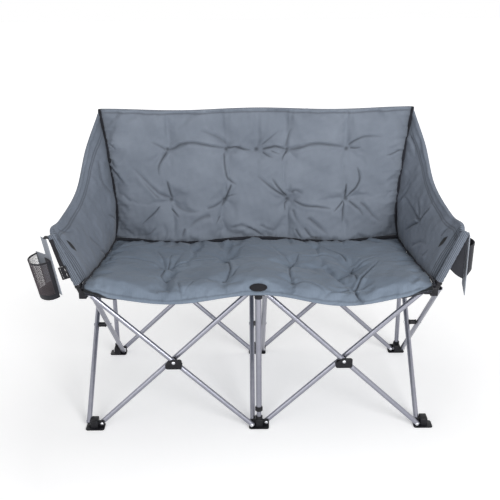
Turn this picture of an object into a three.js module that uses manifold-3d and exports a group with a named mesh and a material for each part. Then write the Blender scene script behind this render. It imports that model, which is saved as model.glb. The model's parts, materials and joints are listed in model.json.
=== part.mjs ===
import * as THREE from "three";
import { mergeVertices } from "three/addons/utils/BufferGeometryUtils.js";
import Module from "manifold-3d";

// Folding two-seat camping chair on a scissor frame of steel tube.
// Millimetres, +Z up, +Y towards the back, left and right as seen from the front.
// The origin is the middle of the front centre foot's sole.

// Scissor frame
const scissorSpan = 478;
const hubPinHeight = 469;
const tubeDiameter = 16;
const tubeWall = 1.2;
const barEnd = 6;
const clearance = 0.3;
const crossBarGap = 1.3;
const sideBarGap = 5.5;
const soleGap = 1;

// Rivets and moulded feet and hubs
const pinDiameter = 6;
const pinHeadDiameter = 11;
const pinHeadThickness = 2;
const soleThickness = 4;
const soleMargin = 9;
const footHeight = 30;
const hubHalfHeight = 14;
const webHalfHeight = 12;
const webThickness = 4.4;
const blockMargin = 9;
const socketWall = 2.1;
const socketFloor = 5;
const cutOvershoot = 1;
const clipWidth = 52;
const clipHeight = 34;
const clipThickness = 3;
const clipDrop = 5;
const clipCorner = 7;
const spacerDiameter = 18;

// Upright tubes
const poleDiameter = 16;
const poleTop = 918;
const postDiameter = 18.6;
const postSlideGap = 0.4;
const postLowerTop = 330;
const postUpperBottom = 64;
const ferruleLength = 16;
const ferruleWall = 2.4;
const ferruleLip = 5;

// Arm posts, measured from a front hub's pin
const armReach = 80;
const armSetback = 12;
const armRise = 172;
const armSocketLength = 18;
const armSocketWall = 3.2;
const armSocketStart = 16;
const armCapLength = 10;
const earDepth = 22;
const earThickness = 6;
const earGap = 0.8;
const sleeveWall = 3.5;
const armPanelStart = 32;

// Seat
const seatHubGap = 0.8;
const seatThickness = 26;
const seatEdgeThickness = 12;
const seatLipRadius = 24;
const seatLipFront = -30;
const seatFrontSagLeft = 28;
const seatFrontSagRight = 38;
const seatRearSag = 12;
const seatBarGap = 2.3;
const seatBackGap = 4;
const seatHammock = 8;
const seatFrontInset = 8;
const seatRearInset = 28;
const seatUndersideRamp = 28;
const seatFoldGap = 0.3;
const seatTufts = [
  [-297, 213], [-97, 245], [105, 225], [300, 195],
  [-287, 106], [-105, 108], [106, 97], [294, 70],
];
const seatTuftDepth = 9;
const seatTuftRadius = 46;

// Back, with its tufts as X and height above its bottom edge
const backBarGap = 4.3;
const backHubGap = 4;
const backPoleCover = 11;
const backTopSag = 7;
const backBottomSag = 20;
const backThickness = 26;
const backEdgeThickness = 16;
const backTopOverhang = 1;
const backWaistInset = 38;
const backWaistRise = 108;
const backBottomInset = 26;
const backFlare = 1.3;
const backLean = 0.7;
const backTufts = [
  [-302, 318], [-103, 318], [0, 316], [104, 318], [305, 318],
  [-296, 141], [-110, 141], [106, 141], [308, 141],
];
const backTuftDepth = 11;
const backTuftRadius = 52;

// Arm panels: the top edge from tip to back as X beyond a front corner hub's pin, Y behind it and Z above it
const armThickness = 12;
const armEdgeThickness = 6;
const armTopEdges = {
  left: [[92, 60, 189], [83, 140, 188], [59, 300, 233], [42, 420, 343]],
  right: [[86, 60, 191], [71, 140, 194], [47, 300, 246], [35, 420, 350]],
};
const armPostGap = 0.6;
const armSeatGap = 3;
const armBackGap = 3;
const armSeamRise = 4;
const armSeamPlaces = [92, 300];
const armBackLead = 3;
const armBackShares = [0, 0.3, 0.98];

// Oval plate on the seat's front lip
const plateWidth = 52;
const plateHeight = 25;
const plateThickness = 3;
const plateAngle = 45;

// Hanging flaps at the arm tips, each with a narrow neck above its cup holder or pouch
const flapThickness = 3;
const flapLength = 190;
const flaps = {
  left: { depth: 110, neckDepth: 46, neck: 62, shoulder: 10, tilt: 10, toe: 40, standoff: 0 },
  right: { depth: 96, neckDepth: 40, neck: 4, shoulder: 30, tilt: 0, toe: 10, standoff: 0 },
};
const cupHeight = 128;
const cupWidth = 88;
const cupDepth = 51;
const cupWall = 2.5;
const cupDrop = 72;
const pouchHeight = 96;
const pouchWidth = 74;
const pouchDepth = 17;
const pouchDrop = 34;
const gussetDepth = 72;
const gussetGap = 2;
const gussetTopDrop = 12;
const gussetTopWidth = 1;
const gussetInnerDrop = 108;
const gussetOuterDrop = 140;

// Webbing strap with its ladder-lock buckle
const strapWidth = 12;
const strapThickness = 1.6;
const strapLength = 86;
const strapLean = 17;
const buckleWidth = 24;
const buckleHeight = 40;
const buckleThickness = 4;
const buckleBar = 5;

// Grids of the padded panels, as steps across and along
const seatFrontGrid = [32, 10];
const seatRearGrid = [32, 7];
const backGrid = [34, 15];
const armGrid = [13, 11];
const seatLipShare = 0.3;

// Values that follow from the sizes above
const tubeRadius = tubeDiameter / 2;
const poleRadius = poleDiameter / 2;
const postRadius = postDiameter / 2;
const postLowerRadius = postRadius - tubeWall - postSlideGap;
const webHalf = webThickness / 2;
const blockHalf = Math.max(postRadius, poleRadius) + clearance + socketWall;
const crossPlane = webHalf + clearance + tubeRadius;
const sidePlane = blockHalf + clearance + tubeRadius;
const barSwing = Math.hypot(barEnd, tubeRadius);
const crossPinOffset = blockHalf + barSwing + crossBarGap;
const sidePinOffset = barSwing - (crossPlane - tubeRadius) + sideBarGap;
const footPinHeight = soleThickness + barSwing + soleGap;
const blockInner = sidePinOffset + blockMargin;
const modulePitch = scissorSpan + 2 * crossPinOffset;
const rowPitch = scissorSpan + 2 * sidePinOffset;
const scissorRise = hubPinHeight - footPinHeight;
const barLength = Math.hypot(scissorSpan, scissorRise);
const barAngle = Math.atan2(scissorRise, scissorSpan);
const pinRadius = pinDiameter / 2;
const pinHeadRadius = pinHeadDiameter / 2;
const armLength = Math.hypot(armReach, armSetback, armRise);
const hubTop = hubPinHeight + hubHalfHeight;
const sleeveRadius = tubeRadius + clearance + sleeveWall;
const collarRadius = tubeRadius + clearance + armSocketWall;

const columns = [
  { name: "left", x: -modulePitch, leftCross: false, rightCross: true },
  { name: "centre", x: 0, leftCross: true, rightCross: true },
  { name: "right", x: modulePitch, leftCross: true, rightCross: false },
];
const rows = [
  { name: "front", y: 0, inward: 1 },
  { name: "rear", y: rowPitch, inward: -1 },
];

const wasm = await Module();
wasm.setup();

const steel = { color: 0xa3a4b0, roughness: 0.35, metalness: 0.7 };
const blackPlastic = { color: 0x1e1e22, roughness: 0.5, metalness: 0 };
const greyCloth = { color: 0x76808b, roughness: 0.9, metalness: 0 };
const blackCloth = { color: 0x232327, roughness: 0.95, metalness: 0 };

const chair = new THREE.Group();

function addPart(name, geometry, finish, parent = chair) {
  const mesh = new THREE.Mesh(geometry, new THREE.MeshStandardMaterial(finish));
  mesh.name = name;
  parent.add(mesh);
  return mesh;
}

// Solids for cutting and joining
function toSolid(geometry) {
  const bare = geometry.clone();
  bare.deleteAttribute("normal");
  bare.deleteAttribute("uv");
  const merged = mergeVertices(bare, 1e-4);
  const vertProperties = new Float32Array(merged.attributes.position.array);
  const triVerts = new Uint32Array(merged.index.array);
  return new wasm.Manifold(new wasm.Mesh({ numProp: 3, vertProperties, triVerts }));
}

function toGeometry(solid) {
  const mesh = solid.getMesh();
  const geometry = new THREE.BufferGeometry();
  geometry.setAttribute("position", new THREE.BufferAttribute(mesh.vertProperties, 3));
  geometry.setIndex(new THREE.BufferAttribute(mesh.triVerts, 1));
  geometry.computeVertexNormals();
  return geometry;
}

function join(geometries) {
  return geometries.map(toSolid).reduce((whole, piece) => whole.add(piece));
}

function cut(solid, geometries) {
  return geometries.map(toSolid).reduce((whole, piece) => whole.subtract(piece), solid);
}

// A box between two corners
function block(low, high) {
  const size = new THREE.Vector3().subVectors(high, low);
  const middle = new THREE.Vector3().addVectors(low, high).multiplyScalar(0.5);
  return new THREE.BoxGeometry(size.x, size.y, size.z).translate(middle.x, middle.y, middle.z);
}

function along(geometry, from, to) {
  const direction = new THREE.Vector3().subVectors(to, from).normalize();
  const turn = new THREE.Quaternion().setFromUnitVectors(new THREE.Vector3(0, 0, 1), direction);
  return geometry.applyQuaternion(turn).translate(from.x, from.y, from.z);
}

// A round rod from one point to another
function rod(from, to, radius, sides = 12) {
  const length = from.distanceTo(to);
  const upright = new THREE.CylinderGeometry(radius, radius, length, sides);
  upright.rotateX(Math.PI / 2).translate(0, 0, length / 2);
  return along(upright, from, to);
}

// A tube with open ends from one point to another
function tube(from, to, outerRadius, innerRadius, halfSides = 7) {
  const ring = new THREE.Shape().absarc(0, 0, outerRadius, 0, 2 * Math.PI, false);
  ring.holes.push(new THREE.Path().absarc(0, 0, innerRadius, 0, 2 * Math.PI, true));
  const options = { depth: from.distanceTo(to), bevelEnabled: false, curveSegments: halfSides };
  return along(new THREE.ExtrudeGeometry(ring, options), from, to);
}

// A rivet standing on a plate: shank through the tube and a flat head beyond it
function rivet(root, axis, plane) {
  const shankEnd = plane + tubeRadius + clearance;
  const at = (distance) => root.clone().addScaledVector(axis, distance);
  return [
    rod(at(0), at(shankEnd + pinHeadThickness / 2), pinRadius, 8),
    rod(at(shankEnd), at(shankEnd + pinHeadThickness), pinHeadRadius, 10),
  ];
}

// Every bar of the frame is the same tube, drilled at both ends and in the middle
function scissorBar() {
  const half = barLength / 2;
  const reach = half + barEnd;
  const left = new THREE.Vector3(-reach, 0, 0);
  const right = new THREE.Vector3(reach, 0, 0);
  const body = toSolid(tube(left, right, tubeRadius, tubeRadius - tubeWall, 6));
  const holes = [-half, 0, half].map((x) =>
    rod(
      new THREE.Vector3(x, -tubeDiameter, 0),
      new THREE.Vector3(x, tubeDiameter, 0),
      pinRadius + clearance,
      8
    )
  );
  return toGeometry(cut(body, holes));
}

// The rivets that a foot or hub carries for its cross bars and its side bar
function crossRivets(column, isHub, height) {
  const rivets = [];
  if (column.leftCross) {
    const plane = isHub ? 1 : -1;
    rivets.push({ x: -crossPinOffset, plane });
  }
  if (column.rightCross) {
    const plane = isHub ? -1 : 1;
    rivets.push({ x: crossPinOffset, plane });
  }
  return rivets.flatMap(({ x, plane }) =>
    rivet(new THREE.Vector3(x, 0, height), new THREE.Vector3(0, plane, 0), crossPlane)
  );
}

function sideRivet(row, isHub, height) {
  const isFront = row.inward > 0;
  const side = isFront === isHub ? 1 : -1;
  return rivet(
    new THREE.Vector3(0, row.inward * sidePinOffset, height),
    new THREE.Vector3(side, 0, 0),
    sidePlane
  );
}

// The moulded body that the rivets stand on: a middle block and a web towards each crossing
function mouldedCore(column, row, low, high, webLow, webHigh) {
  const backY = row.inward > 0 ? blockInner : blockHalf;
  const frontY = row.inward > 0 ? -blockHalf : -blockInner;
  const core = block(new THREE.Vector3(-blockHalf, frontY, low), new THREE.Vector3(blockHalf, backY, high));
  const webReach = crossPinOffset + soleMargin;
  const webLeft = new THREE.Vector3(column.leftCross ? -webReach : 0, -webHalf, webLow);
  const webRight = new THREE.Vector3(column.rightCross ? webReach : 0, webHalf, webHigh);
  return [core, block(webLeft, webRight)];
}

function makeFoot(column, row) {
  const pieces = mouldedCore(column, row, 0, footHeight, 0, footPinHeight + webHalfHeight);
  const sideReach = sidePlane + tubeRadius;
  const wideReach = crossPinOffset + soleMargin;
  const left = column.leftCross ? -wideReach : -sideReach;
  const right = column.rightCross ? wideReach : sideReach;
  const halfDepth = crossPlane + tubeRadius;
  const frontY = row.inward > 0 ? -halfDepth : -blockInner;
  const backY = row.inward > 0 ? blockInner : halfDepth;
  pieces.push(block(new THREE.Vector3(left, frontY, 0), new THREE.Vector3(right, backY, soleThickness)));
  pieces.push(...crossRivets(column, false, footPinHeight));
  pieces.push(...sideRivet(row, false, footPinHeight));
  const holdsPole = row.name === "rear";
  const holdsPost = row.name === "front" && column.name === "centre";
  const bores = [];
  if (holdsPole || holdsPost) {
    const radius = (holdsPole ? poleRadius : postLowerRadius) + clearance;
    const top = new THREE.Vector3(0, 0, footHeight + cutOvershoot);
    bores.push(rod(new THREE.Vector3(0, 0, socketFloor - clearance), top, radius, 14));
  }
  return toGeometry(cut(join(pieces), bores));
}

// Arm posts lean outwards and slightly back from the front corner hubs
function armPoint(column, distance) {
  const side = Math.sign(column.x);
  const direction = new THREE.Vector3(side * armReach, armSetback, armRise).divideScalar(armLength);
  return new THREE.Vector3(0, 0, hubPinHeight).addScaledVector(direction, distance);
}

function makeHub(column, row) {
  const low = hubPinHeight - hubHalfHeight;
  const webLow = hubPinHeight - webHalfHeight;
  const pieces = mouldedCore(column, row, low, hubTop, webLow, hubPinHeight + webHalfHeight);
  pieces.push(...crossRivets(column, true, hubPinHeight));
  pieces.push(...sideRivet(row, true, hubPinHeight));
  const bores = [];
  if (row.name === "rear") {
    const reach = hubHalfHeight + cutOvershoot;
    const from = new THREE.Vector3(0, 0, hubPinHeight - reach);
    bores.push(rod(from, new THREE.Vector3(0, 0, hubPinHeight + reach), poleRadius + clearance, 14));
  } else if (column.name === "centre") {
    const ceiling = new THREE.Vector3(0, 0, hubTop - socketFloor + clearance);
    bores.push(rod(new THREE.Vector3(0, 0, low - cutOvershoot), ceiling, postRadius + clearance, 14));
  } else {
    const collarFoot = armPoint(column, armSocketStart);
    const collarTop = armPoint(column, armSocketStart + armSocketLength - pinHeadThickness);
    const mouth = armPoint(column, armSocketStart + armSocketLength);
    pieces.push(rod(armPoint(column, 0), collarTop, collarRadius, 14));
    bores.push(rod(collarFoot, mouth, tubeRadius + clearance, 14));
  }
  return toGeometry(cut(join(pieces), bores));
}

function addFeetAndHubs() {
  for (const row of rows) {
    for (const column of columns) {
      const foot = addPart(`foot_${row.name}_${column.name}`, makeFoot(column, row), blackPlastic);
      foot.position.set(column.x, row.y, 0);
      const hub = addPart(`hub_${row.name}_${column.name}`, makeHub(column, row), blackPlastic);
      hub.position.set(column.x, row.y, 0);
    }
  }
}

// Bar a of a crossing falls to the right or rises to the back, bar b does the opposite
function addBars() {
  const bar = scissorBar();
  const middleHeight = (hubPinHeight + footPinHeight) / 2;
  for (const row of rows) {
    for (const [name, side] of [["left", -1], ["right", 1]]) {
      const crossing = new THREE.Group();
      crossing.position.set((side * modulePitch) / 2, row.y, middleHeight);
      chair.add(crossing);
      const falling = addPart(`cross_bar_${row.name}_${name}_a`, bar, steel, crossing);
      falling.position.y = -crossPlane;
      falling.rotation.y = barAngle;
      const rising = addPart(`cross_bar_${row.name}_${name}_b`, bar, steel, crossing);
      rising.position.y = crossPlane;
      rising.rotation.y = -barAngle;
      addPart(`cross_clip_${row.name}_${name}`, crossClip(), blackPlastic, crossing);
    }
  }
  for (const column of columns) {
    const crossing = new THREE.Group();
    crossing.position.set(column.x, rowPitch / 2, middleHeight);
    chair.add(crossing);
    const upward = addPart(`side_bar_${column.name}_a`, bar, steel, crossing);
    upward.position.x = -sidePlane;
    upward.rotation.set(0, -barAngle, Math.PI / 2, "ZYX");
    const downward = addPart(`side_bar_${column.name}_b`, bar, steel, crossing);
    downward.position.x = sidePlane;
    downward.rotation.set(0, barAngle, Math.PI / 2, "ZYX");
    addPart(`side_pivot_${column.name}`, sidePivot(), blackPlastic, crossing);
  }
}

// Clip at a crossing: a spacer between the tubes, the rivet, and a cover in front of the front tube
function crossClip() {
  const axis = new THREE.Vector3(0, 1, 0);
  const middle = new THREE.Vector3();
  const faceY = -(crossPlane + tubeRadius + clearance);
  const cover = new THREE.Shape();
  const left = -clipWidth / 2;
  const low = -clipHeight / 2 - clipDrop;
  const high = clipHeight / 2 - clipDrop;
  cover.moveTo(left + clipCorner, low);
  cover.lineTo(-left - clipCorner, low);
  cover.quadraticCurveTo(-left, low, -left, low + clipCorner);
  cover.lineTo(-left, high - clipCorner);
  cover.quadraticCurveTo(-left, high, -left - clipCorner, high);
  cover.lineTo(0, high);
  cover.lineTo(left, low + clipHeight / 2);
  cover.lineTo(left, low + clipCorner);
  cover.quadraticCurveTo(left, low, left + clipCorner, low);
  const options = { depth: clipThickness, bevelEnabled: false, curveSegments: 4 };
  const plate = new THREE.ExtrudeGeometry(cover, options);
  plate.rotateX(Math.PI / 2).translate(0, faceY, 0);
  const spacerFront = new THREE.Vector3(0, -webHalf, 0);
  const spacer = rod(spacerFront, new THREE.Vector3(0, webHalf, 0), spacerDiameter / 2);
  const shank = rod(new THREE.Vector3(0, faceY - clipThickness / 2, 0), middle, pinRadius, 8);
  return toGeometry(join([plate, spacer, shank, ...rivet(middle, axis, crossPlane)]));
}

// Pivot of two side bars: a spacer barrel and a rivet through both tubes
function sidePivot() {
  const barrelEnd = new THREE.Vector3(blockHalf, 0, 0);
  const barrel = rod(barrelEnd.clone().negate(), barrelEnd, spacerDiameter / 2);
  const ends = [-1, 1].flatMap((side) =>
    rivet(new THREE.Vector3(), new THREE.Vector3(side, 0, 0), sidePlane)
  );
  return toGeometry(join([barrel, ...ends]));
}

function addUprights() {
  for (const column of columns) {
    const foot = new THREE.Vector3(0, 0, socketFloor);
    const top = new THREE.Vector3(0, 0, poleTop);
    const upright = tube(foot, top, poleRadius, poleRadius - tubeWall);
    const pole = addPart(`back_pole_${column.name}`, upright, steel);
    pole.position.set(column.x, rowPitch, 0);
  }
  const lowerFoot = new THREE.Vector3(0, 0, socketFloor);
  const lowerTop = new THREE.Vector3(0, 0, postLowerTop);
  addPart("post_lower", tube(lowerFoot, lowerTop, postLowerRadius, postLowerRadius - tubeWall), steel);
  const upperFoot = new THREE.Vector3(0, 0, postUpperBottom);
  const upperTop = new THREE.Vector3(0, 0, hubTop - socketFloor);
  addPart("post_upper", tube(upperFoot, upperTop, postRadius, postRadius - tubeWall), steel);
  addPart("post_ferrule", ferrule(), blackPlastic);
}

// Ferrule at the lower end of the post's outer tube, with a lip that guides the inner tube
function ferrule() {
  const bore = postLowerRadius + postSlideGap;
  const seat = postRadius + clearance;
  const outside = seat + ferruleWall;
  const low = postUpperBottom - ferruleLip;
  const shelf = postUpperBottom - clearance;
  const profile = [
    [bore, low],
    [outside, low],
    [outside, low + ferruleLength],
    [seat, low + ferruleLength],
    [seat, shelf],
    [bore, shelf],
    [bore, low],
  ].map(([radius, height]) => new THREE.Vector2(radius, height));
  return new THREE.LatheGeometry(profile, 14).rotateX(Math.PI / 2);
}

// End cap of an arm post, with the ear that its flap hangs from
function armCap(column, capFoot, capTop, tip) {
  const side = Math.sign(tip.x);
  const { toe, standoff } = flaps[column.name];
  const swept = earDepth * Math.tan(THREE.MathUtils.degToRad(toe));
  const reach = tip.x + side * (sleeveRadius + clearance + flapThickness + standoff + swept);
  const start = tip.x + (side * sleeveRadius) / 2;
  const low = new THREE.Vector3(Math.min(start, reach), 0, tip.z + earGap);
  const high = new THREE.Vector3(Math.max(start, reach), earDepth, tip.z + earGap + earThickness);
  const ear = block(low, high);
  return toGeometry(join([rod(capFoot, capTop, sleeveRadius, 14), ear]));
}

function addArmPosts() {
  for (const column of columns.filter(({ x }) => x !== 0)) {
    const side = new THREE.Group();
    side.position.x = column.x;
    chair.add(side);
    const foot = armPoint(column, armSocketStart + clearance);
    const tip = armPoint(column, armLength);
    addPart(`arm_post_${column.name}`, tube(foot, tip, tubeRadius, tubeRadius - tubeWall), steel, side);
    const capFoot = armPoint(column, armLength + clearance);
    const capTop = armPoint(column, armLength + armCapLength);
    addPart(`arm_post_cap_${column.name}`, armCap(column, capFoot, capTop, tip), blackPlastic, side);
    const sleeveFoot = armPoint(column, armSocketStart + armSocketLength);
    const sleeve = tube(sleeveFoot, tip, sleeveRadius, tubeRadius + clearance);
    addPart(`arm_sleeve_${column.name}`, sleeve, greyCloth, side);
  }
}

// A padded panel: a grid on a middle surface, raised by half its thickness on both faces.
// Grid points run from (0, 0) to (1, 1), front and rear are the two thickness shares.
function paddedPanel([across, lengthways], middle, front, rear) {
  const points = [];
  const step = 1e-3;
  const normalAt = (u, v) => {
    const u0 = Math.max(0, u - step);
    const u1 = Math.min(1, u + step);
    const v0 = Math.max(0, v - step);
    const v1 = Math.min(1, v + step);
    const du = middle(u1, v).sub(middle(u0, v));
    const dv = middle(u, v1).sub(middle(u, v0));
    return du.cross(dv).normalize();
  };
  for (const [share, sign] of [[front, 1], [rear, -1]]) {
    for (let j = 0; j <= lengthways; j += 1) {
      for (let i = 0; i <= across; i += 1) {
        const u = i / across;
        const v = j / lengthways;
        const point = middle(u, v).addScaledVector(normalAt(u, v), sign * share(u, v));
        points.push(point.x, point.y, point.z);
      }
    }
  }
  const face = (across + 1) * (lengthways + 1);
  const at = (layer, i, j) => layer * face + j * (across + 1) + i;
  const faces = [];
  const quad = (a, b, c, d) => faces.push(a, b, c, a, c, d);
  for (let j = 0; j < lengthways; j += 1) {
    for (let i = 0; i < across; i += 1) {
      quad(at(0, i, j), at(0, i + 1, j), at(0, i + 1, j + 1), at(0, i, j + 1));
      quad(at(1, i, j), at(1, i, j + 1), at(1, i + 1, j + 1), at(1, i + 1, j));
    }
  }
  for (let i = 0; i < across; i += 1) {
    quad(at(1, i, 0), at(1, i + 1, 0), at(0, i + 1, 0), at(0, i, 0));
    quad(at(0, i, lengthways), at(0, i + 1, lengthways), at(1, i + 1, lengthways), at(1, i, lengthways));
  }
  for (let j = 0; j < lengthways; j += 1) {
    quad(at(0, 0, j), at(0, 0, j + 1), at(1, 0, j + 1), at(1, 0, j));
    quad(at(1, across, j), at(1, across, j + 1), at(0, across, j + 1), at(0, across, j));
  }
  const geometry = new THREE.BufferGeometry();
  geometry.setAttribute("position", new THREE.Float32BufferAttribute(points, 3));
  geometry.setIndex(faces);
  geometry.computeVertexNormals();
  return geometry;
}

const mix = THREE.MathUtils.lerp;

// Rounded fall towards the two edges of a panel, 0 at an edge and 1 well inside
function crown(t) {
  return Math.sqrt(Math.max(0, 1 - (2 * t - 1) ** 4));
}

function tuftDip(x, y, tufts, depth, radius) {
  const dips = tufts.map(([tuftX, tuftY]) => {
    const away = (x - tuftX) ** 2 + (y - tuftY) ** 2;
    return depth * Math.exp(-away / radius ** 2);
  });
  return dips.reduce((sum, dip) => sum + dip, 0);
}

// The cloth hangs between the columns of hubs
function hang(x) {
  return Math.sin((Math.PI * x) / modulePitch) ** 2;
}

// Height of the upper side of the bars that rise to the rear hubs
function barTop(y) {
  const drop = (rowPitch - sidePinOffset - y) * Math.tan(barAngle);
  return hubPinHeight - drop + tubeRadius / Math.cos(barAngle);
}

const backBottomY = rowPitch - blockInner - backHubGap - backEdgeThickness / 2;
const backTopY = rowPitch - poleRadius - clearance - backEdgeThickness / 2;
const backBottom = barTop(backBottomY + backEdgeThickness / 2) + backBarGap;
const backTop = poleTop + backPoleCover;
const seatRearY = backBottomY - backEdgeThickness / 2 - seatBackGap;
const seatHubLevel = hubTop + seatHubGap + seatThickness / 2;
const seatRearLevel = barTop(seatRearY) + seatBarGap + seatThickness / 2;
const seatFoldY = (seatLipFront + seatRearY) / 2;
const seatFlatStart = seatLipFront + seatLipRadius;

// A point of the seat's middle surface, level until the hubs end and then falling to the back
function seatPoint(share, y, dropped) {
  const depth = THREE.MathUtils.clamp((y - blockInner) / (seatRearY - blockInner), 0, 1);
  const half = modulePitch - mix(seatFrontInset, seatRearInset, depth);
  const x = mix(-half, half, share);
  const frontSag = x < 0 ? seatFrontSagLeft : seatFrontSagRight;
  const front = seatHubLevel - frontSag * hang(x);
  const rear = seatRearLevel - seatRearSag * hang(x);
  const level = mix(front, rear, depth) - seatHammock * Math.sin(Math.PI * depth);
  return new THREE.Vector3(x, y, level - dropped);
}

// The front half starts with a rounded lip that falls in front of the hubs
function seatFrontPoint(u, v) {
  if (v < seatLipShare) {
    const angle = ((v / seatLipShare) * Math.PI) / 2;
    const y = seatFlatStart - seatLipRadius * Math.cos(angle);
    return seatPoint(u, y, seatLipRadius * (1 - Math.sin(angle)));
  }
  const share = (v - seatLipShare) / (1 - seatLipShare);
  return seatPoint(u, mix(seatFlatStart, seatFoldY - seatFoldGap / 2, share), 0);
}

function seatRearPoint(u, v) {
  return seatPoint(u, mix(seatFoldY + seatFoldGap / 2, seatRearY, v), 0);
}

function addSeat() {
  const depthShare = (y) => (y - seatLipFront) / (seatRearY - seatLipFront);
  const upper = (pointAt) => (u, v) => {
    const point = pointAt(u, v);
    const rise = crown(u) * crown(THREE.MathUtils.clamp(depthShare(point.y), 0, 1));
    const full = mix(seatEdgeThickness, seatThickness, rise) / 2;
    return full - tuftDip(point.x, point.y, seatTufts, seatTuftDepth, seatTuftRadius);
  };
  const lower = (pointAt) => (u, v) => {
    const share = THREE.MathUtils.clamp((pointAt(u, v).y - seatLipFront) / seatUndersideRamp, 0, 1);
    return mix(seatEdgeThickness, seatThickness, share * crown(u)) / 2;
  };
  const frontTop = upper(seatFrontPoint);
  const front = paddedPanel(seatFrontGrid, seatFrontPoint, frontTop, lower(seatFrontPoint));
  addPart("seat_pad_front", front, greyCloth);
  const rear = paddedPanel(seatRearGrid, seatRearPoint, upper(seatRearPoint), lower(seatRearPoint));
  addPart("seat_pad_rear", rear, greyCloth);
  addPlate(frontTop);
}

// Bare oval plate that lies against the rounded lip
function addPlate(lipThickness) {
  const outline = new THREE.Shape().absellipse(0, 0, plateWidth / 2, plateHeight / 2, 0, 2 * Math.PI);
  const options = { depth: plateThickness, bevelEnabled: false, curveSegments: 10 };
  const plate = addPart("seat_plate", new THREE.ExtrudeGeometry(outline, options), blackPlastic);
  const angle = THREE.MathUtils.degToRad(plateAngle);
  const share = (seatLipShare * plateAngle) / 90;
  const outward = new THREE.Vector3(0, -Math.cos(angle), Math.sin(angle));
  const standoff = lipThickness(0.5, share) + clearance;
  plate.position.copy(seatFrontPoint(0.5, share)).addScaledVector(outward, standoff);
  plate.rotation.x = Math.PI / 2 - angle;
}

// The back is narrowest at its waist
function backHalfWidth(rise) {
  const waist = modulePitch - backWaistInset;
  if (rise < backWaistRise) {
    const fall = Math.sin(((rise / backWaistRise) * Math.PI) / 2);
    return mix(modulePitch - backBottomInset, waist, fall);
  }
  const share = (rise - backWaistRise) / (backTop - backBottom - backWaistRise);
  return mix(waist, modulePitch + backTopOverhang, share ** backFlare);
}

function backPoint(u, v) {
  const half = backHalfWidth(v * (backTop - backBottom));
  const x = mix(-half, half, u);
  const top = backTop - backTopSag * hang(x);
  const bottom = backBottom - backBottomSag * hang(x);
  return new THREE.Vector3(x, mix(backBottomY, backTopY, v ** backLean), mix(bottom, top, v));
}

function addBack() {
  const front = (u, v) => {
    const point = backPoint(u, v);
    const edge = backEdgeThickness / 2;
    const full = mix(edge, backThickness - edge, crown(u) * crown(v));
    return full - tuftDip(point.x, point.z - backBottom, backTufts, backTuftDepth, backTuftRadius);
  };
  const rear = () => backEdgeThickness / 2;
  addPart("back_pad", paddedPanel(backGrid, backPoint, front, rear), greyCloth);
}

// Arm panel between post, seat, back and its own top edge, blended from its four edges
function armSurface(column) {
  const side = Math.sign(column.x);
  const half = armEdgeThickness / 2;
  const behindPost = Math.max(sleeveRadius, collarRadius) + armPostGap;
  const atPost = (distance) => armPoint(column, distance).add(new THREE.Vector3(column.x, behindPost, 0));
  const atTop = ([x, y, z]) => new THREE.Vector3(column.x + side * x, y, hubPinHeight + z);
  const atSeat = (y) => {
    const edge = seatPoint(1, y, 0);
    return new THREE.Vector3(side * (edge.x + armSeatGap + half), y, edge.z + armSeamRise);
  };
  const atBack = (share) => {
    const edge = backPoint(1, share);
    return new THREE.Vector3(side * (edge.x + armBackGap + half), edge.y - armBackLead, edge.z);
  };
  const curve = (points) => new THREE.CatmullRomCurve3(points, false, "centripetal");
  const lowFront = atPost(armPanelStart);
  const highFront = atPost(armLength);
  const [lowBack, midBack, highBack] = armBackShares.map(atBack);
  const top = curve([highFront, ...armTopEdges[column.name].map(atTop), highBack]);
  const bottom = curve([lowFront, ...armSeamPlaces.map(atSeat), lowBack]);
  const back = curve([lowBack, midBack, highBack]);
  return (u, v) => {
    const front = lowFront.clone().lerp(highFront, v);
    const edges = bottom.getPoint(u).multiplyScalar(1 - v).addScaledVector(top.getPoint(u), v);
    edges.addScaledVector(front, 1 - u).addScaledVector(back.getPoint(v), u);
    const low = lowFront.clone().lerp(lowBack, u);
    const high = highFront.clone().lerp(highBack, u);
    return edges.sub(low.lerp(high, v));
  };
}

function addArms() {
  for (const column of columns.filter(({ x }) => x !== 0)) {
    const surface = armSurface(column);
    const outward = column.x > 0 ? surface : (u, v) => surface(1 - u, v);
    const share = (u, v) => mix(armEdgeThickness, armThickness, crown(u) * crown(v)) / 2;
    addPart(`arm_pad_${column.name}`, paddedPanel(armGrid, outward, share, share), greyCloth);
  }
}

// A flap hangs from each arm tip: its frame has -Z down the flap, +Y to the back and +X outwards
function flapFrame(column) {
  const side = Math.sign(column.x);
  const { tilt, toe, standoff } = flaps[column.name];
  const tip = armPoint(column, armLength);
  const outside = tip.x + side * (sleeveRadius + clearance + flapThickness / 2 + standoff);
  const frame = new THREE.Group();
  frame.position.set(column.x + outside, 0, tip.z);
  const tiltAngle = side * THREE.MathUtils.degToRad(tilt);
  const toeAngle = -side * THREE.MathUtils.degToRad(toe);
  frame.rotation.set(0, tiltAngle, toeAngle, "ZYX");
  chair.add(frame);
  return frame;
}

function flapPanel({ depth, neckDepth, neck, shoulder }) {
  const outline = new THREE.Shape([
    new THREE.Vector2(0, 0),
    new THREE.Vector2(0, -flapLength),
    new THREE.Vector2(depth, -flapLength),
    new THREE.Vector2(depth, -neck - shoulder),
    new THREE.Vector2(neckDepth, -neck),
    new THREE.Vector2(neckDepth, 0),
  ]);
  const panel = new THREE.ExtrudeGeometry(outline, { depth: flapThickness, bevelEnabled: false });
  return panel.translate(0, 0, -flapThickness / 2).rotateX(Math.PI / 2).rotateZ(Math.PI / 2);
}

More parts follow.
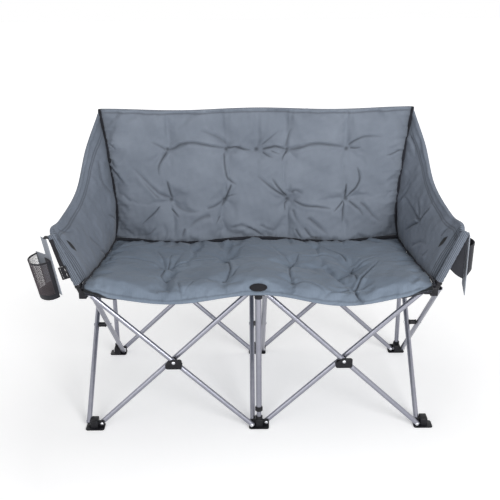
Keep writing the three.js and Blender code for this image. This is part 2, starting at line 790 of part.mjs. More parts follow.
// Round-fronted pocket with an open top, flat against the flap.
// The curve bulges to a quarter of its ends plus three quarters of its handles.
function pocket(side, width, depth, height) {
  const outline = (inset) => {
    const half = width / 2 - inset;
    const root = side * inset;
    const handle = (side * (4 * (depth - inset) - inset)) / 3;
    const shape = new THREE.Shape();
    shape.moveTo(root, -half);
    shape.bezierCurveTo(handle, -half, handle, half, root, half);
    shape.closePath();
    return shape;
  };
  const extrude = (inset, length) =>
    new THREE.ExtrudeGeometry(outline(inset), { depth: length, bevelEnabled: false, curveSegments: 10 });
  const hollow = extrude(cupWall, height).translate(0, 0, cupWall);
  return toGeometry(cut(toSolid(extrude(0, height)), [hollow]));
}

function addHangings() {
  const [left, , right] = columns;
  const cupFrame = flapFrame(left);
  addPart("cup_flap", flapPanel(flaps.left), greyCloth, cupFrame);
  const cup = addPart("cup_pocket", pocket(-1, cupWidth, cupDepth, cupHeight), blackCloth, cupFrame);
  cup.position.set(-flapThickness / 2 - clearance, flaps.left.depth / 2, -cupDrop - cupHeight);
  const pouchFrame = flapFrame(right);
  addPart("pouch_flap", flapPanel(flaps.right), greyCloth, pouchFrame);
  const pouchShell = pocket(1, pouchWidth, pouchDepth, pouchHeight);
  const pouch = addPart("pouch_pocket", pouchShell, blackCloth, pouchFrame);
  pouch.position.set(flapThickness / 2 + clearance, flaps.right.depth / 2, -pouchDrop - pouchHeight);
  addPart("pouch_gusset", gusset(right, pouchFrame.position.x), blackCloth, pouchFrame);
  addStrap(left);
}

// Black side bag between the right arm's sleeve and its flap, in the flap's own frame
function gusset(column, flapX) {
  const tip = armPoint(column, armLength);
  const outer = -flapThickness / 2 - clearance;
  const sleeveEdge = (drop) => {
    const share = drop / armRise;
    return column.x + tip.x - armReach * share + sleeveRadius + gussetGap - flapX;
  };
  const shape = new THREE.Shape();
  shape.moveTo(outer - gussetTopWidth, -gussetTopDrop);
  shape.lineTo(sleeveEdge(gussetInnerDrop), -gussetInnerDrop);
  shape.lineTo(outer - gussetGap, -gussetOuterDrop);
  shape.lineTo(outer, -gussetTopDrop);
  shape.closePath();
  const bag = new THREE.ExtrudeGeometry(shape, { depth: gussetDepth, bevelEnabled: false });
  return bag.rotateX(Math.PI / 2).translate(0, gussetDepth + armSetback, 0);
}

// Webbing strap on the outside of the left sleeve, with a ladder-lock buckle on its end
function addStrap(column) {
  const strap = new THREE.Group();
  const tip = armPoint(column, armLength);
  strap.position.set(column.x + tip.x, tip.y - sleeveRadius - clearance, tip.z);
  strap.rotation.set(-Math.atan2(armSetback, armRise), -THREE.MathUtils.degToRad(strapLean), 0);
  chair.add(strap);
  const half = strapWidth / 2;
  const low = new THREE.Vector3(-half, -strapThickness, -strapLength);
  addPart("strap_webbing", block(low, new THREE.Vector3(half, 0, 0)), blackCloth, strap);
  const frame = new THREE.Shape();
  const side = buckleWidth / 2;
  const corner = (x, z) => new THREE.Vector2(x, z);
  const lowEnd = -buckleHeight;
  frame.setFromPoints([corner(-side, 0), corner(-side, lowEnd), corner(side, lowEnd), corner(side, 0)]);
  const slotHeight = (buckleHeight - 3 * buckleBar) / 2;
  for (const top of [-buckleBar, -2 * buckleBar - slotHeight]) {
    const edge = side - buckleBar;
    const low = top - slotHeight;
    const slot = [corner(-edge, top), corner(edge, top), corner(edge, low), corner(-edge, low)];
    frame.holes.push(new THREE.Path(slot));
  }
  const buckle = new THREE.ExtrudeGeometry(frame, { depth: buckleThickness, bevelEnabled: false });
  const mesh = addPart("strap_buckle", buckle.rotateX(Math.PI / 2), blackPlastic, strap);
  mesh.position.z = -strapLength - clearance;
}

addFeetAndHubs();
addBars();
addUprights();
addArmPosts();
addSeat();
addBack();
addArms();
addHangings();

export default chair;
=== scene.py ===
import json
import math

import bmesh
import bpy
import numpy as np
from mathutils import Matrix, Vector


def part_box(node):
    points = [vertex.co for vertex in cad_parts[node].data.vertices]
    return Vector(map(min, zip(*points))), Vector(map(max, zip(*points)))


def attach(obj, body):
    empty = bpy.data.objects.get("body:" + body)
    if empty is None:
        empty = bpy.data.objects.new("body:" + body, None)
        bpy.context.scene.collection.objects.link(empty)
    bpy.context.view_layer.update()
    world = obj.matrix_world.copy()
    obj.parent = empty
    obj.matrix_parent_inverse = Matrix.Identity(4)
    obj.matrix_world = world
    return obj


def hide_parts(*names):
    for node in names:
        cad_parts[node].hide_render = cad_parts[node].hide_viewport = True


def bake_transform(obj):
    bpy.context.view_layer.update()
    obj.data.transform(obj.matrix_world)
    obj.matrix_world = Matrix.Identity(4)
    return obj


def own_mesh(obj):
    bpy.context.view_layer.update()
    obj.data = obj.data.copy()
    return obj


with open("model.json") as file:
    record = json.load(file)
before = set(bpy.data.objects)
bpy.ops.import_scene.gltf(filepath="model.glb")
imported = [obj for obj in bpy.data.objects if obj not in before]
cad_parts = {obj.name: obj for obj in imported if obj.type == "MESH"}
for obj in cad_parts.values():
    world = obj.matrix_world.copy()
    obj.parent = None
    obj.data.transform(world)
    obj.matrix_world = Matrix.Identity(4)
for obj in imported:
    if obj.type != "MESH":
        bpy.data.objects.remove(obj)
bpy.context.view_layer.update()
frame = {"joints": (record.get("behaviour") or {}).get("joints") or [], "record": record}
record = frame["record"]
joints = {joint["name"]: joint for joint in frame["joints"]}
mounts = {mount["name"]: Vector(mount["pos_m"]) for mount in record["mounts"]}
bodyOf = {node: body for body, nodes in record["behaviour"]["bodies"].items() for node in nodes}

# The main places of the frame, as packed
pitch = mounts["sole_front_right"].x
rowDepth = mounts["sole_rear_centre"].y
hubPin = joints["front_hub_left_pivot"]["pos_m"][2]
footPin = joints["fold"]["pos_m"][2]
crossPin = -joints["fold"]["pos_m"][0]
crossPlane = -joints["fold"]["pos_m"][1]
sidePlane = -joints["side_bar_centre_a_pivot"]["pos_m"][0]
sidePin = joints["side_bar_centre_a_pivot"]["pos_m"][1]
columnX = {"left": -pitch, "centre": 0.0, "right": pitch}
rowY = {"front": 0.0, "rear": rowDepth}
sideSign = {"left": -1, "right": 1}
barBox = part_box("cross_bar_front_left_a")
tubeRadius = (barBox[1].y - barBox[0].y) / 2
rivetGap = 0.0003
crossFace = crossPlane + tubeRadius + rivetGap
sideFace = sidePlane + tubeRadius + rivetGap
millimetre = 0.001


def colour(code):
    parts = [int(code[i:i + 2], 16) / 255 for i in (1, 3, 5)]
    linear = [c / 12.92 if c <= 0.04045 else ((c + 0.055) / 1.055) ** 2.4 for c in parts]
    return (*linear, 1.0)


def addNode(tree, kind, links=None, values=None, **settings):
    node = tree.nodes.new(kind)
    for name, value in settings.items():
        setattr(node, name, value)
    for name, value in (values or {}).items():
        node.inputs[name].default_value = value
    for name, socket in (links or {}).items():
        tree.links.new(socket, node.inputs[name])
    return node


def newMaterial(name):
    material = bpy.data.materials.new(name)
    material.use_nodes = True
    tree = material.node_tree
    return material, tree, tree.nodes["Principled BSDF"]


def mottle(tree, place, low, high, scale, detail=4.0):
    noise = addNode(tree, "ShaderNodeTexNoise", {"Vector": place}, {"Scale": scale, "Detail": detail})
    ramp = addNode(tree, "ShaderNodeValToRGB", {"Fac": noise.outputs["Fac"]})
    ramp.color_ramp.elements[0].position = 0.32
    ramp.color_ramp.elements[0].color = colour(low)
    ramp.color_ramp.elements[1].position = 0.68
    ramp.color_ramp.elements[1].color = colour(high)
    return ramp.outputs["Color"]


def roughen(tree, shader, place, low, high, scale):
    noise = addNode(tree, "ShaderNodeTexNoise", {"Vector": place}, {"Scale": scale, "Detail": 3.0})
    spread = addNode(tree, "ShaderNodeMapRange", {"Value": noise.outputs["Fac"]},
                     {"To Min": low, "To Max": high})
    tree.links.new(spread.outputs["Result"], shader.inputs["Roughness"])


def emboss(tree, shader, height, strength, distance):
    bump = addNode(tree, "ShaderNodeBump", {"Height": height}, {"Strength": strength, "Distance": distance})
    tree.links.new(bump.outputs["Normal"], shader.inputs["Normal"])


# A hard finish: two close tones and two close roughnesses, each spread by its own noise
def hardFinish(name, tones, toneScale, roughness, roughScale):
    material, tree, shader = newMaterial(name)
    place = addNode(tree, "ShaderNodeTexCoord").outputs["Object"]
    tree.links.new(mottle(tree, place, *tones, toneScale), shader.inputs["Base Color"])
    roughen(tree, shader, place, *roughness, roughScale)
    return material, tree, shader, place


def addGrain(tree, shader, place, scale, strength, distance):
    noise = addNode(tree, "ShaderNodeTexNoise", {"Vector": place}, {"Scale": scale, "Detail": 2.0})
    emboss(tree, shader, noise.outputs["Fac"], strength, distance)


# Powder coat on steel tube, grey with fine metal flakes and a slight orange peel
def paintedSteelMaterial():
    tones = ("#8C8D98", "#94959F")
    material, tree, shader, place = hardFinish("paintedSteel", tones, 60.0, (0.27, 0.33), 60.0)
    addGrain(tree, shader, place, 700.0, 0.05, 0.0003)
    shader.inputs["Metallic"].default_value = 0.8
    return material


# Moulded black nylon with a fine spark-eroded grain
def blackNylonMaterial():
    tones = ("#0F0F13", "#1B1B20")
    material, tree, shader, place = hardFinish("blackNylon", tones, 120.0, (0.36, 0.52), 150.0)
    addGrain(tree, shader, place, 1500.0, 0.15, 0.0004)
    shader.inputs["Specular IOR Level"].default_value = 0.25
    return material


# Zinc-plated rivet heads
def zincMaterial():
    tones = ("#B9BAC0", "#DCDDE2")
    material, _, shader, _ = hardFinish("zincRivet", tones, 300.0, (0.22, 0.4), 400.0)
    shader.inputs["Metallic"].default_value = 0.9
    return material


# Woven polyester: threads over and under at a pitch in metres, dye mottling, and painted shade in folds,
# seams, stitches and slits, read from the fold attribute, which also carries the seat's black corner tape
def clothMaterial(name, low, high, threadPitch, sheen, strength=0.35):
    material, tree, shader = newMaterial(name)
    place = addNode(tree, "ShaderNodeTexCoord")
    base = mottle(tree, place.outputs["Object"], low, high, 9.0, 5.0)
    frequency = 2 * math.pi / (20 * threadPitch)
    bands = [
        addNode(tree, "ShaderNodeTexWave", {"Vector": place.outputs["UV"]},
                {"Scale": frequency, "Distortion": 0.4, "Detail": 1.0}, bands_direction=direction)
        for direction in ("X", "Y")
    ]
    weave = addNode(tree, "ShaderNodeMath", {i: band.outputs["Fac"] for i, band in enumerate(bands)},
                    operation="MULTIPLY")
    fleck = addNode(tree, "ShaderNodeTexNoise", {"Vector": place.outputs["UV"]},
                    {"Scale": 420.0, "Detail": 2.0})
    tone = addNode(tree, "ShaderNodeMapRange", {"Value": fleck.outputs["Fac"]},
                   {"To Min": 0.86, "To Max": 1.14})
    # Painted shade: the fold attribute darkens the colour by 0.3 to its power
    fold = addNode(tree, "ShaderNodeAttribute", attribute_name="fold")
    depth = addNode(tree, "ShaderNodeMath", {1: fold.outputs["Fac"]}, {0: 0.3}, operation="POWER")
    shade = addNode(tree, "ShaderNodeMath", {0: tone.outputs["Result"], 1: depth.outputs["Value"]},
                    operation="MULTIPLY")
    flecksAndShade = addNode(tree, "ShaderNodeMix", {6: base, 7: shade.outputs["Value"]}, {0: 1.0},
                   data_type="RGBA", blend_type="MULTIPLY")
    tree.links.new(flecksAndShade.outputs[2], shader.inputs["Base Color"])
    emboss(tree, shader, weave.outputs["Value"], strength, 0.0005)
    shader.inputs["Roughness"].default_value = 0.82
    shader.inputs["Specular IOR Level"].default_value = 0.3
    shader.inputs["Sheen Weight"].default_value = sheen
    shader.inputs["Sheen Roughness"].default_value = 0.45
    return material


paintedSteel = paintedSteelMaterial()
blackNylon = blackNylonMaterial()
zincRivet = zincMaterial()
backCloth = clothMaterial("backPolyester", "#737B87", "#7F8793", 0.0016, 0.12)
seatCloth = clothMaterial("seatPolyester", "#6D7988", "#788493", 0.0016, 0.12)
armCloth = clothMaterial("armPolyester", "#6C7480", "#78808D", 0.0016, 0.12)
flapCloth = clothMaterial("flapPolyester", "#8C929C", "#A0A5AE", 0.0014, 0.1)
blackCloth = clothMaterial("blackPolyester", "#1B1C21", "#2A2B31", 0.0012, 0.15)
webbingTape = clothMaterial("blackWebbing", "#141418", "#222228", 0.0022, 0.1, 0.8)
netCloth = clothMaterial("nylonNet", "#4A4448", "#5E575B", 0.002, 0.1)
pipingCloth = clothMaterial("navyPiping", "#15161C", "#22242C", 0.001, 0.1)
print("materials made")


def addTo(target, source, matrix=None):
    if matrix is not None:
        source.transform(matrix)
    mesh = bpy.data.meshes.new("part")
    source.to_mesh(mesh)
    source.free()
    target.from_mesh(mesh)
    bpy.data.meshes.remove(mesh)


def makePiece(bm, name, material, smoothAngle=35):
    mesh = bpy.data.meshes.new(name)
    bm.to_mesh(mesh)
    bm.free()
    mesh.shade_smooth()
    mesh.set_sharp_from_angle(angle=math.radians(smoothAngle))
    mesh.materials.append(material)
    piece = bpy.data.objects.new(name, mesh)
    bpy.context.scene.collection.objects.link(piece)
    return piece


def settle(piece):
    bpy.context.view_layer.update()
    shown = piece.evaluated_get(bpy.context.evaluated_depsgraph_get())
    mesh = bpy.data.meshes.new_from_object(shown)
    piece.modifiers.clear()
    piece.data = mesh
    return piece


def dress(piece, body, slot, *nodes):
    if body:
        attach(piece, body)
    if nodes:
        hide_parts(*nodes)
    return piece


# A moulded piece in place of its node, with the bright heads of its rivets
def addMoulded(node, bm, rivets=None):
    dress(makePiece(bm, f"moulded_{node}", blackNylon), bodyOf[node], "black_plastic", node)
    if rivets is not None:
        dress(makePiece(rivets, f"rivets_{node}", zincRivet), bodyOf[node], "painted_steel")


def pointing(direction, place):
    turn = Vector((0, 0, 1)).rotation_difference(Vector(direction))
    return Matrix.Translation(place) @ turn.to_matrix().to_4x4()


# A profile of (radius, height) pairs turned about Z, closed where it doesn't end on the axis
def spun(profile, steps):
    bm = bmesh.new()
    verts = [bm.verts.new((radius, 0, height)) for radius, height in profile]
    edges = [bm.edges.new(pair) for pair in zip(verts, verts[1:])]
    if profile[0][0] > 0 and profile[-1][0] > 0:
        edges.append(bm.edges.new((verts[-1], verts[0])))
    bmesh.ops.spin(bm, geom=verts + edges, cent=(0, 0, 0), axis=(0, 0, 1), angle=2 * math.pi,
                   steps=steps, use_merge=True)
    bmesh.ops.remove_doubles(bm, verts=bm.verts, dist=1e-6)
    bmesh.ops.recalc_face_normals(bm, faces=bm.faces)
    return bm


def softenEdges(bm, width, segments=2, angle=40):
    edges = [edge for edge in bm.edges
             if len(edge.link_faces) == 2 and edge.calc_face_angle() > math.radians(angle)]
    bmesh.ops.bevel(bm, geom=edges, offset=width, offset_type="OFFSET", affect="EDGES",
                    segments=segments, profile=0.5, material=-1, clamp_overlap=True)
    return bm


def roundedBox(low, high, width):
    bm = bmesh.new()
    bmesh.ops.create_cube(bm, size=1.0)
    size = Vector(high) - Vector(low)
    bm.transform(Matrix.Translation((Vector(high) + Vector(low)) / 2) @ Matrix.Diagonal((*size, 1)))
    return softenEdges(bm, width, 3)


# An outline of (x, z) pairs pushed from one depth to another
def slab(outline, near, far, width):
    bm = bmesh.new()
    face = bm.faces.new([bm.verts.new((x, near, z)) for x, z in outline])
    grown = bmesh.ops.extrude_face_region(bm, geom=[face])
    moved = [item for item in grown["geom"] if isinstance(item, bmesh.types.BMVert)]
    bmesh.ops.translate(bm, verts=moved, vec=(0, far - near, 0))
    bmesh.ops.recalc_face_normals(bm, faces=bm.faces)
    return softenEdges(bm, width)


def roundedOutline(low, high, radii, steps=5):
    left, bottom = low
    right, top = high
    corners = [(left, bottom, 180), (right, bottom, 270), (right, top, 0), (left, top, 90)]
    points = []
    for (x, z, start), radius in zip(corners, radii):
        middleX = x + (radius if x == left else -radius)
        middleZ = z + (radius if z == bottom else -radius)
        for i in range(steps + 1 if radius else 1):
            angle = math.radians(start + 90 * i / steps)
            points.append((middleX + radius * math.cos(angle), middleZ + radius * math.sin(angle)))
    return points


def ringProfile(inner, outer, foot, top, lip):
    return [(inner, foot), (outer - lip, foot), (outer, foot + lip), (outer, top - lip), (outer - lip, top),
            (inner, top)]


def tube(start, end, radius, wall, lip):
    bm = spun(ringProfile(radius - wall, radius, 0, (end - start).length, lip), 32)
    bm.transform(pointing(end - start, start))
    return bm


# The two ends of a straight tube's centreline, from the box of its node
def tubeEnds(node, radius, signs):
    low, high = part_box(node)
    extent = np.array(high - low)
    direction = extent / np.linalg.norm(extent)
    for _ in range(12):
        span = np.maximum(extent - 2 * radius * np.sqrt(1 - direction ** 2), 0)
        direction = span / np.linalg.norm(span)
    half = Vector(span * np.array(signs)) / 2
    middle = (low + high) / 2
    return middle - half, middle + half


steelTube = {"wall": 0.0012, "lip": 0.0006}


def addTube(node, ends, radius=tubeRadius):
    bm = tube(*ends, radius, steelTube["wall"], steelTube["lip"])
    dress(makePiece(bm, f"tube_{node}", paintedSteel), bodyOf[node], "painted_steel", node)


def addTubes():
    for kind in [f"{row}_{side}" for row in rowY for side in sideSign]:
        for bar, slope in (("a", -1), ("b", 1)):
            node = f"cross_bar_{kind}_{bar}"
            addTube(node, tubeEnds(node, tubeRadius, (1, 1, slope)))
    for column in columnX:
        for bar, slope in (("a", 1), ("b", -1)):
            node = f"side_bar_{column}_{bar}"
            addTube(node, tubeEnds(node, tubeRadius, (1, 1, slope)))
    for node in [f"back_pole_{column}" for column in columnX] + ["post_lower", "post_upper"]:
        low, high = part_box(node)
        middle = (low + high) / 2
        ends = [Vector((middle.x, middle.y, z)) for z in (low.z, high.z)]
        addTube(node, ends, (high.y - low.y) / 2)
    for side, sign in sideSign.items():
        node = f"arm_post_{side}"
        addTube(node, tubeEnds(node, tubeRadius, (sign, 1, 1)))


def rivetHead(bm, place, axis):
    profile = [(0, 0.0024), (0.0026, 0.0022), (0.0044, 0.0014), (0.0053, 0.0003), (0.0053, -0.0006),
               (0, -0.0006)]
    addTo(bm, spun(profile, 20), pointing(axis, place))


moulding = {"half": 0.0117, "inner": 0.022, "web": 0.0022, "margin": 0.009, "sole": 0.004, "footTop": 0.030,
            "hubHalf": 0.014, "webHalf": 0.012, "webLift": 0.0005, "corner": 0.008, "bevel": 0.0028,
            "webBevel": 0.0009, "soleBevel": 0.0014, "collarGap": 0.0003, "collarWall": 0.0028,
            "collarLip": 0.0012, "collarSink": 0.004, "collarDrop": 0.007, "collarStand": 0.009}


# A foot or hub: block, webs towards its crossings, sole or collar, and bright rivet heads
def addMoulding(row, column, isHub):
    form = moulding
    node = f"{'hub' if isHub else 'foot'}_{row}_{column}"
    inward = 1 if row == "front" else -1
    pin = hubPin if isHub else footPin
    low = hubPin - form["hubHalf"] if isHub else 0.0
    high = hubPin + form["hubHalf"] if isHub else form["footTop"]
    near, far = sorted((-inward * form["half"], inward * form["inner"]))
    bm = bmesh.new()
    rivets = bmesh.new()
    addTo(bm, roundedBox((-form["half"], near, low), (form["half"], far, high), form["bevel"]))
    reach = crossPin + form["margin"]
    corner = form["corner"]
    sides = [side for side in (-1, 1) if abs(columnX[column] + side * pitch) < 1.5 * pitch]
    for side in sides:
        webLow = pin - form["webHalf"] if isHub else form["webLift"]
        ends = sorted((0.0, side * reach))
        radii = (corner, 0, 0, corner) if side < 0 else (0, corner, corner, 0)
        outline = roundedOutline((ends[0], webLow), (ends[1], pin + form["webHalf"]), radii)
        addTo(bm, slab(outline, -form["web"], form["web"], form["webBevel"]))
        plane = -side if isHub else side
        boss = [(0, 0), (0.0068, 0), (0.0068, 0.0019), (0.0058, 0.0026), (0, 0.0026)]
        addTo(bm, spun(boss, 20), pointing((0, plane, 0), (side * crossPin, 0, pin)))
        rivetHead(rivets, Vector((side * crossPin, plane * crossFace, pin)), (0, plane, 0))
        rivetHead(rivets, Vector((side * crossPin, -plane * form["web"], pin)), (0, -plane, 0))
    sideways = 1 if (inward > 0) == isHub else -1
    pinY = inward * sidePin
    rivetHead(rivets, Vector((sideways * sideFace, pinY, pin)), (sideways, 0, 0))
    rivetHead(rivets, Vector((-sideways * form["half"], pinY, pin)), (-sideways, 0, 0))
    if not isHub:
        halfDepth = crossPlane + tubeRadius
        soleNear, soleFar = sorted((-inward * halfDepth, inward * form["inner"]))
        left = -reach if -1 in sides else -sidePlane - tubeRadius
        right = reach if 1 in sides else sidePlane + tubeRadius
        outline = roundedOutline((left, soleNear), (right, soleFar), (corner,) * 4)
        sole = slab(outline, 0.0, form["sole"], form["soleBevel"])
        sole.transform(Matrix.Rotation(math.radians(90), 4, "X"))
        sole.transform(Matrix.Scale(-1, 4, (0, 1, 0)))
        bmesh.ops.recalc_face_normals(sole, faces=sole.faces)
        addTo(bm, sole)
    if row == "rear" or column == "centre":
        addTo(bm, collarRing(node, low, high))
    elif isHub:
        addArmCollar(bm, column)
    shift = Matrix.Translation((columnX[column], rowY[row], 0))
    bm.transform(shift)
    rivets.transform(shift)
    addMoulded(node, bm, rivets)


# The raised ring round a pole or post, under the front centre hub and on top of the others
def collarRing(node, low, high):
    poleNode = "post_upper" if node == "hub_front_centre" else "post_lower"
    if "rear" in node:
        poleNode = "back_pole_centre"
    poleLow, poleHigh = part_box(poleNode)
    inner = (poleHigh.y - poleLow.y) / 2 + moulding["collarGap"]
    outer = inner + moulding["collarWall"]
    foot, top = high - moulding["collarSink"], high + moulding["collarStand"]
    if node == "hub_front_centre":
        foot, top = low - moulding["collarDrop"], low + moulding["collarSink"]
    return spun(ringProfile(inner, outer, foot, top, moulding["collarLip"]), 28)


armAxis = {"reach": 0.080, "setback": 0.012, "rise": 0.172}
armLength = Vector(armAxis.values()).length
armCollar = {"length": 0.032, "outer": 0.0115, "bore": 0.0082, "boreDepth": 0.010, "rim": 0.0014,
             "lip": 0.0012}


def armPoint(column, distance):
    reach = sideSign[column] * armAxis["reach"]
    direction = Vector((reach, armAxis["setback"], armAxis["rise"])).normalized()
    return Vector((0, 0, hubPin)) + direction * distance


def addArmCollar(bm, column):
    start, end = armPoint(column, 0), armPoint(column, armCollar["length"])
    length = (end - start).length
    outer, bore, rim = armCollar["outer"], armCollar["bore"], armCollar["outer"] + armCollar["rim"]
    floor = length - armCollar["boreDepth"]
    profile = [(0, 0), (outer, 0), (outer, length - 0.008), (rim, length - 0.007),
               (rim, length - armCollar["lip"]), (outer, length), (bore, length), (bore, floor), (0, floor)]
    addTo(bm, spun(profile, 28), pointing(end - start, start))


def addMouldings():
    for row in rowY:
        for column in columnX:
            addMoulding(row, column, False)
            addMoulding(row, column, True)


clip = {"width": 0.052, "height": 0.034, "thickness": 0.003, "drop": 0.005, "corner": 0.007,
        "bevel": 0.0008}


# A clip's face, with its upper left corner cut off
def clipOutline():
    left, right = -clip["width"] / 2, clip["width"] / 2
    low, high = -clip["height"] / 2 - clip["drop"], clip["height"] / 2 - clip["drop"]
    outline = roundedOutline((left, low), (right, high), (clip["corner"],) * 3 + (0,))
    outline = [point for point in outline if point != (left, high)]
    return outline + [(-0.002, high), (left, low + clip["height"] / 2)]


def addClip(node, place):
    right = clip["width"] / 2
    low = -clip["height"] / 2 - clip["drop"]
    bevel = clip["bevel"]
    bm = bmesh.new()
    addTo(bm, slab(clipOutline(), -crossFace - clip["thickness"], -crossFace, 0.001))
    flange = roundedOutline((0.004 - right, low + 0.003), (right - 0.004, -0.004), (0.006,) * 4)
    addTo(bm, slab(flange, -0.002, 0.002, bevel))
    lug = roundedOutline((right - 0.014, low), (right, low + 0.012), (0, clip["corner"], 0.002, 0.002))
    for outline in (lug, [(-x, z) for x, z in reversed(lug)]):
        addTo(bm, slab(outline, -crossFace - 0.001, 0.001, bevel))
    barrel = [(0, -0.0024), (0.009, -0.0024), (0.009, 0.0024), (0, 0.0024)]
    addTo(bm, spun(barrel, 24), pointing((0, 1, 0), (0, 0, 0)))
    rivets = bmesh.new()
    rivetHead(rivets, Vector((0, -crossFace - clip["thickness"], 0)), (0, -1, 0))
    rivetHead(rivets, Vector((0, crossFace, 0)), (0, 1, 0))
    shift = Matrix.Translation(place)
    bm.transform(shift)
    rivets.transform(shift)
    addMoulded(node, bm, rivets)


# A waisted barrel between the two bars of a side crossing
def addSidePivot(node, place):
    half = moulding["half"]
    waist = [(0, -half), (0.0078, -half), (0.009, 0.0012 - half), (0.0078, 0.005 - half),
             (0.0078, half - 0.005), (0.009, half - 0.0012), (0.0078, half), (0, half)]
    bm = spun(waist, 24)
    bm.transform(pointing((1, 0, 0), place))
    rivets = bmesh.new()
    for sign in (-1, 1):
        rivetHead(rivets, Vector(place) + Vector((sign * sideFace, 0, 0)), (sign, 0, 0))
    addMoulded(node, bm, rivets)


def addClips():
    middleZ = (hubPin + footPin) / 2
    for row, y in rowY.items():
        for side, sign in sideSign.items():
            addClip(f"cross_clip_{row}_{side}", (sign * pitch / 2, y, middleZ))
    for column, x in columnX.items():
        addSidePivot(f"side_pivot_{column}", (x, rowDepth / 2, middleZ))


def addFerrule():
    low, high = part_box("post_ferrule")
    postLow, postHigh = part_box("post_lower")
    inner = (postHigh.y - postLow.y) / 2 + moulding["collarGap"]
    outer = (high.y - low.y) / 2
    lip = 0.0014
    profile = [(inner, low.z), (outer - lip, low.z), (outer, low.z + lip), (outer, high.z - 0.005),
               (outer - 0.001, high.z - 0.004), (outer - 0.001, high.z - lip), (outer - 0.002, high.z),
               (inner + 0.002, high.z)]
    addMoulded("post_ferrule", spun(profile, 32))


armCap = {"gap": 0.0003, "top": 0.008, "radius": 0.0085, "tip": 0.006, "earStart": 0.004, "earInset": 0.010,
          "earLift": 0.0008, "earNear": 0.002, "earFar": 0.020, "earHeight": 0.005, "earBevel": 0.0018}


# A plug on each arm post's tip, with a flat ear that the flap hangs from
def addArmCaps():
    for side, sign in sideSign.items():
        node = f"arm_post_cap_{side}"
        low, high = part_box(node)
        start, end = armPoint(side, armLength + armCap["gap"]), armPoint(side, armLength + armCap["top"])
        tall = (end - start).length
        radius = armCap["radius"]
        bm = spun([(0, 0), (radius, 0), (radius, tall - 0.003), (armCap["tip"], tall), (0, tall)], 24)
        bm.transform(pointing(end - start, start))
        inside = sign * (armAxis["reach"] + armCap["earStart"])
        outside = (high.x if sign > 0 else low.x) - sign * armCap["earInset"] - columnX[side]
        left, right = sorted((inside, outside))
        earLow = hubPin + armAxis["rise"] + armCap["earLift"]
        addTo(bm, roundedBox((left, armCap["earNear"], earLow),
                             (right, armCap["earFar"], earLow + armCap["earHeight"]), armCap["earBevel"]))
        bm.transform(Matrix.Translation((columnX[side], 0, 0)))
        addMoulded(node, bm)


addTubes()
addMouldings()
addClips()
addFerrule()
addArmCaps()
print("frame pieces made")


def mix(a, b, t):
    return a + (b - a) * t


def crown(t):
    return np.sqrt(np.maximum(0, 1 - (2 * t - 1) ** 4))


def hang(x):
    return np.sin(math.pi * x / pitch) ** 2


def stack(x, y, z):
    return np.stack(np.broadcast_arrays(x, y, z), axis=-1)


# The same swell all over a pad or a layer of cloth
def evenly(height):
    return lambda u, v: np.full(len(u), height)


# A smooth line through points, for shares of the way along it
def splineThrough(points, t):
    points = np.array(points, float)
    padded = np.vstack([2 * points[0] - points[1], points, 2 * points[-1] - points[-2]])
    count = len(points) - 1
    place = np.clip(t * count, 0, count - 1e-9)
    i = place.astype(int)
    f = (place - i)[:, None]
    a, b, c, d = (padded[i + k] for k in range(4))
    square = (2 * a - 5 * b + 4 * c - d) * f ** 2
    cube = (3 * b - 3 * c + d - a) * f ** 3
    return 0.5 * (2 * b + (c - a) * f + square + cube)


# A closed pad on a middle surface given by shares (u, v), with a swell to each face
def padShell(cells, middle, upper, lower):
    bm = bmesh.new()
    step = 1e-4
    for sign, swell in ((1, upper), (-1, lower)):
        grid = bmesh.ops.create_grid(bm, x_segments=cells[0], y_segments=cells[1], size=0.5)["verts"]
        share = np.array([vert.co[:2] for vert in grid]) + 0.5
        u, v = share[:, 0], share[:, 1]
        du = middle(np.minimum(u + step, 1), v) - middle(np.maximum(u - step, 0), v)
        dv = middle(u, np.minimum(v + step, 1)) - middle(u, np.maximum(v - step, 0))
        normal = np.cross(du, dv)
        normal /= np.linalg.norm(normal, axis=1)[:, None]
        places = middle(u, v) + normal * (sign * swell(u, v))[:, None]
        for vert, place in zip(grid, places):
            vert.co = place
        if sign < 0:
            faces = {face for vert in grid for face in vert.link_faces}
            bmesh.ops.reverse_faces(bm, faces=list(faces))
    bmesh.ops.bridge_loops(bm, edges=[edge for edge in bm.edges if edge.is_boundary])
    bmesh.ops.recalc_face_normals(bm, faces=bm.faces)
    return bm


def coordinates(mesh):
    flat = np.empty(len(mesh.vertices) * 3)
    mesh.vertices.foreach_get("co", flat)
    return flat.reshape(-1, 3)


def vertexNormals(mesh):
    flat = np.empty(len(mesh.vertices) * 3)
    mesh.vertex_normals.foreach_get("vector", flat)
    return flat.reshape(-1, 3)


def setCoordinates(mesh, places):
    mesh.vertices.foreach_set("co", np.ascontiguousarray(places, dtype=np.float32).ravel())
    mesh.update()


puffing = {"frames": 20, "pressure": 3.0, "shrink": -0.05}


